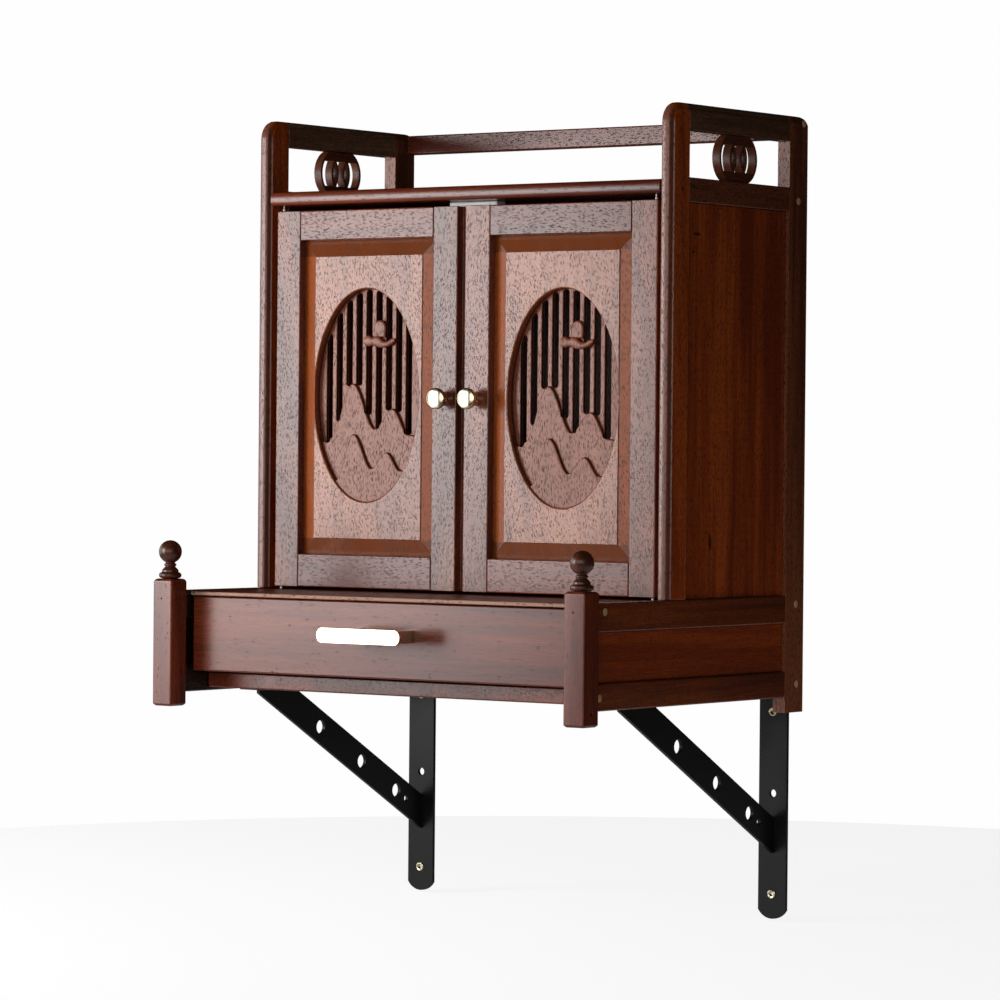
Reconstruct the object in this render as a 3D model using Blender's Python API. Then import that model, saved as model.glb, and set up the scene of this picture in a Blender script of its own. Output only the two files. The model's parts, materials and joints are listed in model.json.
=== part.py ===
"""Wall-mounted altar shelf: a two-door cabinet standing on a drawer box, on two steel brackets.

Metres, +Z up. X runs across, -Y is the front, and the wall is the plane Y = 0.
The origin is on the wall at mid-width, level with the top of the box rails.
"""
import math

import bmesh
import bpy
from mathutils import Vector

# Clearances
GAP = 0.0003                 # joint line between pieces that touch
RUNNING_GAP = 0.0010         # drawer to what it slides past
PIN_CLEARANCE = 0.0004       # pivot pin to the hole in a door

# Side frames
CABINET_WIDTH = 0.500        # over the two side frames
CABINET_DEPTH = 0.245        # wall to the nose of the front posts
FRAME_HEIGHT = 0.472         # frame top above the box rails
FRAME_THICKNESS = 0.014
FRONT_POST_DEPTH = 0.033
REAR_POST_DEPTH = 0.034
REAR_POST_DROP = 0.015       # rear posts run on below the box
NOSE_DEPTH = 0.007           # moulded edge on the front and top of the frames
NOSE_QUIRK = 0.0017          # step beside the moulded edge
FRONT_CORNER_RADIUS = 0.020
REAR_ARRIS = 0.0012          # of the frames' square rear edges
REAR_CORNER_RADIUS = 0.009
GALLERY_RAIL_HEIGHT = 0.026
GALLERY_OPENING = 0.045
MID_RAIL_HEIGHT = 0.0235
SIDE_PANEL_THICKNESS = 0.006
SIDE_PANEL_RECESS = 0.004

# Ring ornament in the gallery opening of each side
RING_RADIUS = 0.0245
RING_BAND = 0.003
RING_OFFSET = 0.009          # of each ring from the middle
RING_THICKNESS = 0.009
RING_HOLE_HALF_HEIGHT = 0.0130
WAIST_HALF_WIDTH = 0.0035    # of the middle hole, at its narrowest
WAIST_FLARE = 0.0040         # how far the middle hole widens to its ends
WAIST_STRIP = 0.0021         # wood between the middle hole and a lens hole
LENS_HALF_HEIGHT = 0.0112
RING_HOLE_STEPS = 8

# Boards between the frames
TOP_BOARD_THICKNESS = 0.014
TOP_BOARD_DROP = 0.0025      # below the top of the mid rails
TOP_BOARD_SETBACK = 0.003    # behind the nose of the front posts
BACK_RAIL_HEIGHT = 0.0195
BACK_RAIL_DROP = 0.0023       # below the top of the frames
BACK_RAIL_THICKNESS = 0.015
BACK_PANEL_THICKNESS = 0.006

# Drawer box
BOX_DEPTH = 0.368            # wall to the front ends of the box rails
BOX_HEIGHT = 0.100
DECK_RAIL_HEIGHT = 0.027
BOX_BOTTOM_RAIL_HEIGHT = 0.0255
DECK_DROP = 0.001            # deck top below the rails' top
DECK_THICKNESS = 0.012
DECK_LIP_THICKNESS = 0.004   # lip of the deck over the drawer front
DECK_SETBACK = 0.0065        # deck lip behind the rails' front ends
BOTTOM_BOARD_THICKNESS = 0.015
BOTTOM_BOARD_LIFT = 0.0035   # above the lower edge of the side rails
FRONT_RAIL_SETBACK = 0.034   # low front rail behind the rails' front ends
FRONT_RAIL_DEPTH = 0.014

# Corner posts and finials
CORNER_POST_SIZE = 0.024
CORNER_POST_PROUD = 0.0085   # outside the side frames
CORNER_POST_DROP = 0.0135
CORNER_POST_RISE = 0.0115
CORNER_POST_ARRIS = 0.002
CORNER_POST_SHOULDER = 0.0035    # rounding of the posts' top edges
FINIAL_DISC_RADIUS = 0.0112
FINIAL_DISC_HEIGHT = 0.0060
FINIAL_COLLAR_RADIUS = 0.0082    # small step on the disc
FINIAL_COLLAR_HEIGHT = 0.0022
FINIAL_NECK_RADIUS = 0.0047
FINIAL_BEAD_RADIUS = 0.0063
FINIAL_BEAD_HEIGHT = 0.0030
FINIAL_BEAD_Z = 0.0132           # middle of the bead above the post
FINIAL_BALL_RADIUS = 0.0114
FINIAL_HEIGHT = 0.0375

# Drawer
DRAWER_SETBACK = 0.0075      # drawer face behind the rails' front ends
DRAWER_FRONT_THICKNESS = 0.018
DRAWER_FRONT_LIFT = 0.0025   # above the bottom board
DRAWER_SIDE_THICKNESS = 0.010
DRAWER_SIDE_HEIGHT = 0.062
DRAWER_BACK_SPACE = 0.0362   # behind the drawer's back
DRAWER_BOTTOM_THICKNESS = 0.005
DRAWER_BOTTOM_LIFT = 0.005
DRAWER_RUN_LIFT = 0.0005     # drawer sides above the bottom board

# Pull on the drawer
PULL_LENGTH = 0.100
PULL_HEIGHT = 0.0148
PULL_END_BULGE = 0.0055
PULL_PLATE_THICKNESS = 0.0035
PULL_REACH = 0.037
PULL_FOOT_SPACING = 0.064
PULL_FOOT_WIDTH = 0.012
PULL_FOOT_HEIGHT = 0.0120
PULL_CENTRE_Z = -0.0375

# Doors
DOOR_SETBACK = 0.008         # door face behind the nose of the front posts
DOOR_THICKNESS = 0.018
DOOR_SIDE_GAP = 0.0055
DOOR_MEETING_GAP = 0.009
DOOR_FLOOR_GAP = 0.003
DOOR_HEAD_GAP = 0.0055
STILE_WIDTH = 0.030
TOP_RAIL_WIDTH = 0.030
BOTTOM_RAIL_WIDTH = 0.033
DOOR_ARRIS = 0.0008
GROOVE_DEPTH = 0.006         # panel groove in the door frames
GROOVE_WIDTH = 0.005
GROOVE_FRONT = 0.0085        # groove behind the door face
TONGUE_CLEARANCE = 0.0012    # panel tongue short of the groove's floor
MEETING_LIP_WIDTH = 0.0045   # lip on the left door behind the meeting gap
MEETING_LIP_THICKNESS = 0.009

# Raised and carved door panels
BEVEL_WIDTH = 0.016
FIELD_SINK = 0.0045          # raised field behind the door face
FIELD_STEP = 0.0010
PANEL_BACK_SINK = 0.001
PANEL_BACK_MARGIN = 0.004
OVAL_HALF_WIDTH = 0.0660
OVAL_HALF_HEIGHT = 0.1070
RECESS_DEPTH = 0.0085
RECESS_DRAFT = 0.0015        # inward slope of the recess wall
SLOT_PITCH = 0.0124
SLOT_WIDTH = 0.0072
SLOT_TOP_MARGIN = 0.0020
SLOT_CORNER = 0.0015
BACK_RANGE_SINK = 0.0052     # back mountains behind the field
FRONT_RANGE_SINK = 0.0020
CLOUD_SINK = 0.0032
SUN_SINK = 0.0046
SUN_RADIUS = 0.0073
SUN_CENTRE = (0.0155, 0.0675)
SUN_FOOT = 0.0099            # below the sun's centre
SUN_FOOT_HALF_WIDTH = 0.0067
FIGURE_SHOULDER = 0.0016     # rounding of the sun and cloud

# The hand-cut ovals sit a little off the middle of each panel, and the picture a little off the oval's
OVAL_OFFSETS = {"left": (-0.0022, 0.0020), "right": (0.0016, -0.0010)}
PICTURE_SHIFT = -0.0025
# Lower ends of the slots, from left to right
SLOT_FEET = (-0.0474, -0.0258, 0.0095, 0.0103, -0.0189, -0.0335, -0.0146, -0.0162, -0.0389)
# Turning points of the two mountain ranges
BACK_RANGE = (
    (-0.0580, -0.0480),
    (-0.0460, -0.0430),
    (-0.0182, 0.0112),
    (0.0095, -0.0336),
    (0.0315, -0.0140),
    (0.0520, -0.0395),
    (0.0660, -0.0410),
)
FRONT_RANGE = (
    (-0.0360, -0.0850),
    (-0.0150, -0.0392),
    (0.0080, -0.0730),
    (0.0266, -0.0572),
    (0.0440, -0.0750),
)
# Centre line of the cloud as x, z and half thickness
CLOUD_LINE = (
    (-0.0037, 0.0540, 0.0020),
    (0.0020, 0.0543, 0.0060),
    (0.0090, 0.0540, 0.0050),
    (0.0170, 0.0518, 0.0045),
    (0.0250, 0.0507, 0.0036),
    (0.0310, 0.0530, 0.0028),
    (0.0355, 0.0555, 0.0012),
)

# Knobs, pivots and catch
PIVOT_INSET = 0.005          # hinge axis from the door's edge and from its face
PIN_RADIUS = 0.0022
PIN_FLANGE_RADIUS = 0.0042
PIN_FLANGE_THICKNESS = 0.0012
PIN_HOLE_DEPTH = 0.010
PIN_REACH = 0.008            # pin length inside the door
KNOB_INSET = 0.014
KNOB_HEIGHT_SHARE = 0.5      # of the door's height
KNOB_HEAD_RADIUS = 0.0103
KNOB_HEAD_THICKNESS = 0.0075
KNOB_RIM = 0.0018            # straight part of the head's edge
KNOB_BASE_RADIUS = 0.0070
KNOB_BASE_LENGTH = 0.0060
KNOB_NECK_RADIUS = 0.0052
KNOB_NECK_LENGTH = 0.0020
KNOB_REACH = 0.020
CATCH_LENGTH = 0.058
CATCH_DEPTH = 0.015
CATCH_HEIGHT = 0.012
CATCH_GAP = 0.001            # behind the closed doors

# Steel brackets
BRACKET_CLEARANCE = 0.002    # strap edge to the side frame beside it
STRAP_WIDTH = 0.032
STRAP_THICKNESS = 0.004
STRAP_LENGTH = 0.222         # below the box
STRAP_END_BULGE = 0.009
STRAP_BEND_RADIUS = 0.004
ARM_LENGTH = 0.286
ARM_HOLE_RADIUS = 0.003
ARM_HOLES = (0.060, 0.150)   # from the wall
STRAP_HOLE_RADIUS = 0.0040
STRAP_HOLE_DROP = 0.0973     # below the box
EYELET_DROPS = (0.016, 0.1973)
EYELET_HOLE_RADIUS = 0.0032
EYELET_RADIUS = 0.0048
EYELET_BORE_RADIUS = 0.0024
EYELET_THICKNESS = 0.0016
EYELET_ROUNDING = 0.0004     # of the flange's edges
STRUT_WIDTH = 0.0308
STRUT_THICKNESS = 0.004
STRUT_ANGLE = math.radians(29.2)
STRUT_FOOT_DROP = 0.1567     # lower corner at the strap, below the box
STRUT_NOSE_CUT = 0.006
STRUT_HOLES = ((0.0315, 0.0034), (0.051, 0.007), (0.119, 0.007), (0.198, 0.007))

# Smoothness of round work
RAIL_ARRIS = 0.0010
NOSE_STEPS = 8
CORNER_STEPS = 6
OVAL_STEPS = 56
RANGE_STEPS = 7
SHOULDER_STEPS = 3
DOME_STEPS = 6
SMOOTH_ANGLE = math.radians(35)  # round work is shaded smooth below this turn
TURNED_STEPS = 20
HOLE_STEPS = 16

# Places worked out from the sizes above
HALF_WIDTH = CABINET_WIDTH / 2
INNER = HALF_WIDTH - FRAME_THICKNESS
BETWEEN = INNER - GAP
GALLERY_RAIL_BOTTOM = FRAME_HEIGHT - GALLERY_RAIL_HEIGHT
MID_RAIL_TOP = GALLERY_RAIL_BOTTOM - GALLERY_OPENING
MID_RAIL_BOTTOM = MID_RAIL_TOP - MID_RAIL_HEIGHT
TOP_BOARD_TOP = MID_RAIL_TOP - TOP_BOARD_DROP
TOP_BOARD_BOTTOM = TOP_BOARD_TOP - TOP_BOARD_THICKNESS
FRONT_POST_BACK = -(CABINET_DEPTH - FRONT_POST_DEPTH)
REAR_POST_FRONT = -REAR_POST_DEPTH
BOX_BOTTOM_RAIL_TOP = -BOX_HEIGHT + BOX_BOTTOM_RAIL_HEIGHT
DECK_TOP = -DECK_DROP
DECK_FRONT = -(BOX_DEPTH - DECK_SETBACK)
DECK_LIP_BOTTOM = DECK_TOP - DECK_LIP_THICKNESS
BOTTOM_BOARD_BOTTOM = -BOX_HEIGHT + BOTTOM_BOARD_LIFT
BOTTOM_BOARD_TOP = BOTTOM_BOARD_BOTTOM + BOTTOM_BOARD_THICKNESS
BACK_PANEL_FRONT = -BACK_PANEL_THICKNESS
DRAWER_FACE = -(BOX_DEPTH - DRAWER_SETBACK)
DRAWER_BACK_OF_FRONT = DRAWER_FACE + DRAWER_FRONT_THICKNESS
DRAWER_HALF_WIDTH = HALF_WIDTH + CORNER_POST_PROUD - CORNER_POST_SIZE - RUNNING_GAP
DRAWER_FRONT_TOP = DECK_LIP_BOTTOM - RUNNING_GAP
DRAWER_FRONT_BOTTOM = BOTTOM_BOARD_TOP + DRAWER_FRONT_LIFT
DOOR_FACE = -(CABINET_DEPTH - DOOR_SETBACK)
DOOR_BACK = DOOR_FACE + DOOR_THICKNESS
DOOR_OUTER = INNER - DOOR_SIDE_GAP
DOOR_INNER = DOOR_MEETING_GAP / 2
DOOR_BOTTOM = DECK_TOP + DOOR_FLOOR_GAP
DOOR_TOP = TOP_BOARD_BOTTOM - DOOR_HEAD_GAP
DOOR_CENTRE_X = (DOOR_OUTER + DOOR_INNER) / 2
PANEL_BOTTOM = DOOR_BOTTOM + BOTTOM_RAIL_WIDTH
PANEL_TOP = DOOR_TOP - TOP_RAIL_WIDTH
OPENING_HALF_WIDTH = (DOOR_OUTER - DOOR_INNER) / 2 - STILE_WIDTH
OPENING_HALF_HEIGHT = (PANEL_TOP - PANEL_BOTTOM) / 2
PANEL_CENTRE_Z = (PANEL_TOP + PANEL_BOTTOM) / 2
HINGE_X = DOOR_OUTER - PIVOT_INSET
HINGE_Y = DOOR_FACE + PIVOT_INSET
KNOB_Z = DOOR_BOTTOM + KNOB_HEIGHT_SHARE * (DOOR_TOP - DOOR_BOTTOM)
ARM_TOP = BOTTOM_BOARD_BOTTOM - GAP
ARM_BOTTOM = ARM_TOP - STRAP_THICKNESS
STRAP_BOTTOM = -BOX_HEIGHT - STRAP_LENGTH

# Colour, roughness and metallic value of each finish
FINISHES = {
    "frame_wood": ((0.085, 0.030, 0.017), 0.40, 0.0),
    "panel_wood": ((0.150, 0.060, 0.032), 0.42, 0.0),
    "side_wood": ((0.070, 0.018, 0.008), 0.38, 0.0),
    "inner_wood": ((0.190, 0.105, 0.055), 0.60, 0.0),
    "black_steel": ((0.015, 0.015, 0.015), 0.45, 0.6),
    "brass": ((0.80, 0.62, 0.33), 0.22, 1.0),
    "white_plastic": ((0.85, 0.85, 0.83), 0.45, 0.0),
}
SIDES = (("left", -1), ("right", 1))


def clear_scene():
    for obj in list(bpy.data.objects):
        bpy.data.objects.remove(obj, do_unlink=True)


def make_material(name, finish):
    colour, roughness, metallic = FINISHES[finish]
    material = bpy.data.materials.new(name)
    material.use_nodes = True
    shader = material.node_tree.nodes["Principled BSDF"]
    shader.inputs["Base Color"].default_value = (*colour, 1.0)
    shader.inputs["Roughness"].default_value = roughness
    shader.inputs["Metallic"].default_value = metallic
    return material


def add_empty(name, location):
    empty = bpy.data.objects.new(name, None)
    empty.location = location
    bpy.context.scene.collection.objects.link(empty)
    return empty


def add_object(name, bm, finish, parent=None, smooth_angle=None):
    """Closes a mesh built in world coordinates into an object, with its origin on its parent's."""
    bmesh.ops.recalc_face_normals(bm, faces=bm.faces[:])
    if parent:
        bmesh.ops.translate(bm, verts=bm.verts[:], vec=-parent.location)
    mesh = bpy.data.meshes.new(name)
    bm.to_mesh(mesh)
    bm.free()
    if smooth_angle:
        mesh.shade_smooth()
        mesh.set_sharp_from_angle(angle=smooth_angle)
    obj = bpy.data.objects.new(name, mesh)
    obj.data.materials.append(make_material(f"{name}_{finish}", finish))
    obj.parent = parent
    bpy.context.scene.collection.objects.link(obj)
    return obj


def cut_or_join(obj, name, bm, operation, parent=None):
    """Adds a hidden tool body to an object's Boolean modifiers."""
    tool = add_object(name, bm, "inner_wood", parent)
    tool.hide_render = True
    tool.display_type = "WIRE"
    modifier = obj.modifiers.new(name, "BOOLEAN")
    modifier.operation = operation
    modifier.solver = "EXACT"
    modifier.object = tool


def soften(obj, width):
    """Takes the sharp arris off every square edge."""
    bevel = obj.modifiers.new("arris", "BEVEL")
    bevel.width = width
    bevel.segments = 1
    bevel.limit_method = "ANGLE"
    bevel.angle_limit = SMOOTH_ANGLE


def lift(point, axis, depth):
    """A 2-D outline point, set at a depth along the axis it is drawn across."""
    u, v = point
    return {"X": (depth, u, v), "Y": (u, depth, v), "Z": (u, v, depth)}[axis]


def loft(rings):
    """A closed body through rings of equal length, capped at both ends."""
    bm = bmesh.new()
    loops = [[bm.verts.new(point) for point in ring] for ring in rings]
    count = len(loops[0])
    for lower, upper in zip(loops, loops[1:]):
        for i in range(count):
            j = (i + 1) % count
            bm.faces.new((lower[i], lower[j], upper[j], upper[i]))
    bm.faces.new(loops[0])
    bm.faces.new(loops[-1])
    return bm


def prism(outline, axis, start, end):
    return loft([[lift(point, axis, depth) for point in outline] for depth in (start, end)])


def plate(outlines, axis, start, end):
    """A flat plate: the first outline is its edge and the others are its holes."""
    bm = bmesh.new()
    edges = []
    for outline in outlines:
        verts = [bm.verts.new(lift(point, axis, start)) for point in outline]
        for i, vert in enumerate(verts):
            edges.append(bm.edges.new((vert, verts[(i + 1) % len(verts)])))
    bmesh.ops.triangle_fill(bm, use_beauty=True, use_dissolve=False, edges=edges)
    extruded = bmesh.ops.extrude_face_region(bm, geom=bm.faces[:])
    moved = [item for item in extruded["geom"] if isinstance(item, bmesh.types.BMVert)]
    bmesh.ops.translate(bm, verts=moved, vec=lift((0, 0), axis, end - start))
    return bm


def box(low, high):
    outline = ((low[0], low[1]), (high[0], low[1]), (high[0], high[1]), (low[0], high[1]))
    return prism(outline, "Z", low[2], high[2])


def mirrored_box(side, near, far, low, high):
    """A box between two distances from the middle plane, on one side of it."""
    x = sorted((side * near, side * far))
    return box((x[0], low[0], low[1]), (x[1], high[0], high[1]))


def add_board(name, low, high, finish, parent=None):
    obj = add_object(name, box(low, high), finish, parent)
    soften(obj, RAIL_ARRIS)
    return obj


def add_side_board(name, side, near, far, low, high, finish):
    obj = add_object(name, mirrored_box(side, near, far, low, high), finish)
    soften(obj, RAIL_ARRIS)
    return obj


def arc(centre, radius, start, end, steps):
    """Points on a circle from one angle to another, in degrees, both ends included."""
    angles = [math.radians(start + (end - start) * i / steps) for i in range(steps + 1)]
    return [(centre[0] + radius * math.cos(a), centre[1] + radius * math.sin(a)) for a in angles]


def circle(centre, radius, steps=HOLE_STEPS):
    return arc(centre, radius, 0, 360, steps)[:-1]


def bowed_end(half_chord, bulge, steps):
    """An end that bows out: offsets across and along, from one corner to the other."""
    radius = (half_chord ** 2 + bulge ** 2) / (2 * bulge)
    spread = math.degrees(math.asin(half_chord / radius))
    return arc((0, bulge - radius), radius, 90 - spread, 90 + spread, steps)


def turned(profile, centre, axis, steps=TURNED_STEPS, closed=False):
    """Turns radius and height pairs round an axis. A closed profile makes a ring with a bore."""
    bm = bmesh.new()
    along, across_a, across_b = {
        "Z": (Vector((0, 0, 1)), Vector((1, 0, 0)), Vector((0, 1, 0))),
        "-Y": (Vector((0, -1, 0)), Vector((1, 0, 0)), Vector((0, 0, 1))),
    }[axis]
    centre = Vector(centre)
    rings = []
    for radius, height in profile:
        middle = centre + along * height
        if radius == 0:
            rings.append([bm.verts.new(middle)])
            continue
        turns = [math.tau * i / steps for i in range(steps)]
        rings.append([
            bm.verts.new(middle + radius * (across_a * math.cos(t) + across_b * math.sin(t))) for t in turns
        ])
    pairs = list(zip(rings, rings[1:]))
    if closed:
        pairs.append((rings[-1], rings[0]))
    for first, second in pairs:
        for i in range(steps):
            j = (i + 1) % steps
            corners = [first[i % len(first)], first[j % len(first)]]
            corners += [second[j % len(second)], second[i % len(second)]]
            bm.faces.new(list(dict.fromkeys(corners)))
    return bm


def nose_profile():
    """Moulded edge across the frame's thickness, as offset across and distance in from the tip."""
    half = FRAME_THICKNESS / 2
    nose_half = half - NOSE_QUIRK
    nose_length = NOSE_DEPTH - NOSE_QUIRK / 2
    points = [(-half, NOSE_DEPTH), (-nose_half, NOSE_DEPTH)]
    for i in range(NOSE_STEPS + 1):
        angle = math.pi * i / NOSE_STEPS
        points.append((-nose_half * math.cos(angle), nose_length * (1 - math.sin(angle))))
    points += [(nose_half, NOSE_DEPTH), (half, NOSE_DEPTH)]
    return points


def square_profile():
    """A square edge with small arrises, with as many points as the moulded one."""
    half = FRAME_THICKNESS / 2
    flank = [(half, NOSE_DEPTH * share) for share in (1, 0.8, 0.6)]
    flank += [(half, REAR_ARRIS), (half - REAR_ARRIS, 0)]
    across = NOSE_STEPS - 4
    flat = half - REAR_ARRIS
    middle = [(flat * (2 * i / across - 1), 0) for i in range(1, across)]
    return [(-x, d) for x, d in flank] + middle + flank[::-1]


def moulded_board(edge_path, inner_corners, side):
    """A frame member with its shaped edge along a path in the YZ plane.

    Each place on the path is a point, its inward normal and how far the edge is moulded, 0 to 1.
    The inner corners close the board's outline from the end of the path back to its start.
    """
    bm = bmesh.new()
    middle = side * (HALF_WIDTH - FRAME_THICKNESS / 2)
    half = FRAME_THICKNESS / 2
    stations = []
    for point, normal, share in edge_path:
        profile = []
        for plain, moulded in zip(square_profile(), nose_profile()):
            profile.append([a + (b - a) * share for a, b in zip(plain, moulded)])
        stations.append([
            bm.verts.new((middle + x, point[0] + normal[0] * d, point[1] + normal[1] * d)) for x, d in profile
        ])
    corners = {x: [bm.verts.new((middle + x, y, z)) for y, z in inner_corners] for x in (-half, half)}
    for first, second in zip(stations, stations[1:]):
        for i in range(len(profile) - 1):
            bm.faces.new((first[i], first[i + 1], second[i + 1], second[i]))
    low, high = corners[-half], corners[half]
    bm.faces.new([station[0] for station in stations] + low)
    bm.faces.new([station[-1] for station in stations] + high)
    for i in range(len(low) - 1):
        bm.faces.new((low[i], low[i + 1], high[i + 1], high[i]))
    bm.faces.new(stations[-1] + [high[0], low[0]])
    bm.faces.new(stations[0] + [high[-1], low[-1]])
    return bm


def corner_path(corner, radius, facing, first_share):
    """The quarter round of a frame's outline, from its upright edge to its moulded top edge.

    Facing is -1 for the front corner and 1 for the rear one.
    """
    path = []
    for i in range(CORNER_STEPS + 1):
        angle = math.radians(90) * i / CORNER_STEPS
        outward = (facing * math.cos(angle), math.sin(angle))
        centre = (corner[0] - facing * radius, corner[1] - radius)
        point = (centre[0] + radius * outward[0], centre[1] + radius * outward[1])
        share = first_share + (1 - first_share) * i / CORNER_STEPS
        path.append((point, (-outward[0], -outward[1]), share))
    return path


def build_front_post(name, side):
    front = -CABINET_DEPTH
    path = [((front, GAP), (1, 0), 1)]
    path += corner_path((front, FRAME_HEIGHT), FRONT_CORNER_RADIUS, -1, 1)
    path += [((FRONT_POST_BACK, FRAME_HEIGHT), (0, -1), 1)]
    inner = [(FRONT_POST_BACK, GAP)]
    add_object(f"front_post_{name}", moulded_board(path, inner, side), "side_wood", None, SMOOTH_ANGLE)


def build_rear_post(name, side):
    foot = -BOX_HEIGHT - REAR_POST_DROP
    path = [((0, foot), (-1, 0), 0)]
    path += corner_path((0, FRAME_HEIGHT), REAR_CORNER_RADIUS, 1, 0)
    path += [((REAR_POST_FRONT, FRAME_HEIGHT), (0, -1), 1)]
    inner = [(REAR_POST_FRONT, foot)]
    add_object(f"rear_post_{name}", moulded_board(path, inner, side), "side_wood", None, SMOOTH_ANGLE)


def build_gallery_rail(name, side):
    front = FRONT_POST_BACK + GAP
    back = REAR_POST_FRONT - GAP
    path = [((front, FRAME_HEIGHT), (0, -1), 1), ((back, FRAME_HEIGHT), (0, -1), 1)]
    inner = [(back, GALLERY_RAIL_BOTTOM), (front, GALLERY_RAIL_BOTTOM)]
    add_object(f"gallery_rail_{name}", moulded_board(path, inner, side), "side_wood", None, SMOOTH_ANGLE)


def ring_outline(height):
    """Outline of the two overlapping rings, cut flat where the rails hold them."""
    points = []
    for sign in (1, -1):
        limit = math.degrees(math.asin(height / RING_RADIUS))
        start = -limit if sign > 0 else 180 - limit
        points += arc((sign * RING_OFFSET, 0), RING_RADIUS, start, start + 2 * limit, 12)
    return points


def hole_heights(half_height):
    """Even steps up a hole of the ring ornament."""
    return [half_height * (2 * i / RING_HOLE_STEPS - 1) for i in range(RING_HOLE_STEPS + 1)]


def ring_crescent(sign):
    """The hole between one ring's band and the other ring."""
    inner = RING_RADIUS - RING_BAND
    heights = hole_heights(RING_HOLE_HALF_HEIGHT)
    outer_edge = [(sign * (RING_OFFSET + math.sqrt(inner ** 2 - z ** 2)), z) for z in heights]
    inner_edge = [(sign * (-RING_OFFSET + math.sqrt(RING_RADIUS ** 2 - z ** 2)), z) for z in heights]
    return outer_edge + inner_edge[::-1]


def waist_edge(z):
    """Half width of the middle hole, which flares towards its ends."""
    return WAIST_HALF_WIDTH + WAIST_FLARE * (z / RING_HOLE_HALF_HEIGHT) ** 2


def ring_lens(sign):
    """The slim hole between the middle hole and the crossing ring."""
    inner = RING_RADIUS - RING_BAND
    heights = hole_heights(LENS_HALF_HEIGHT)
    outer_edge = [(sign * (-RING_OFFSET + math.sqrt(inner ** 2 - z ** 2)), z) for z in heights]
    inner_edge = [(sign * (waist_edge(z) + WAIST_STRIP), z) for z in heights]
    return outer_edge + inner_edge[::-1]


def ring_waist():
    right = [(waist_edge(z), z) for z in hole_heights(RING_HOLE_HALF_HEIGHT)]
    return right + [(-x, z) for x, z in reversed(right)]


def build_ring_ornament(name, side):
    half_height = GALLERY_OPENING / 2 - GAP
    centre_y = (FRONT_POST_BACK + REAR_POST_FRONT) / 2
    centre_z = GALLERY_RAIL_BOTTOM - GALLERY_OPENING / 2
    shapes = [ring_outline(half_height), ring_waist()]
    for sign in (1, -1):
        shapes += [ring_crescent(sign), ring_lens(sign)]
    outlines = [[(centre_y + y, centre_z + z) for y, z in shape] for shape in shapes]
    middle = side * (HALF_WIDTH - FRAME_THICKNESS / 2)
    bm = plate(outlines, "X", middle - RING_THICKNESS / 2, middle + RING_THICKNESS / 2)
    add_object(f"ring_ornament_{name}", bm, "side_wood", None, SMOOTH_ANGLE)


def build_side_frame(name, side):
    build_front_post(name, side)
    build_rear_post(name, side)
    build_gallery_rail(name, side)
    build_ring_ornament(name, side)
    front = FRONT_POST_BACK + GAP
    back = REAR_POST_FRONT - GAP
    low, high = (front, MID_RAIL_BOTTOM), (back, MID_RAIL_TOP)
    add_side_board(f"mid_rail_{name}", side, INNER, HALF_WIDTH, low, high, "side_wood")
    low, high = (-BOX_DEPTH, -DECK_RAIL_HEIGHT), (back, 0)
    add_side_board(f"deck_rail_{name}", side, INNER, HALF_WIDTH, low, high, "side_wood")
    low, high = (-BOX_DEPTH, -BOX_HEIGHT), (back, BOX_BOTTOM_RAIL_TOP)
    add_side_board(f"bottom_rail_{name}", side, INNER, HALF_WIDTH, low, high, "side_wood")
    outer = HALF_WIDTH - SIDE_PANEL_RECESS
    inner = outer - SIDE_PANEL_THICKNESS
    bm = mirrored_box(side, inner, outer, (front, GAP), (back, MID_RAIL_BOTTOM - GAP))
    add_object(f"side_panel_{name}", bm, "side_wood")
    low, high = (-BOX_DEPTH, BOX_BOTTOM_RAIL_TOP + GAP), (back, -DECK_RAIL_HEIGHT - GAP)
    add_object(f"box_side_panel_{name}", mirrored_box(side, inner, outer, low, high), "side_wood")


def nosed_board(front, back, bottom, top):
    """Section of a board in the YZ plane with a half-round front edge."""
    radius = (top - bottom) / 2
    middle = (top + bottom) / 2
    return [(back, top), (back, bottom)] + arc((front + radius, middle), radius, 270, 90, NOSE_STEPS)


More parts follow.
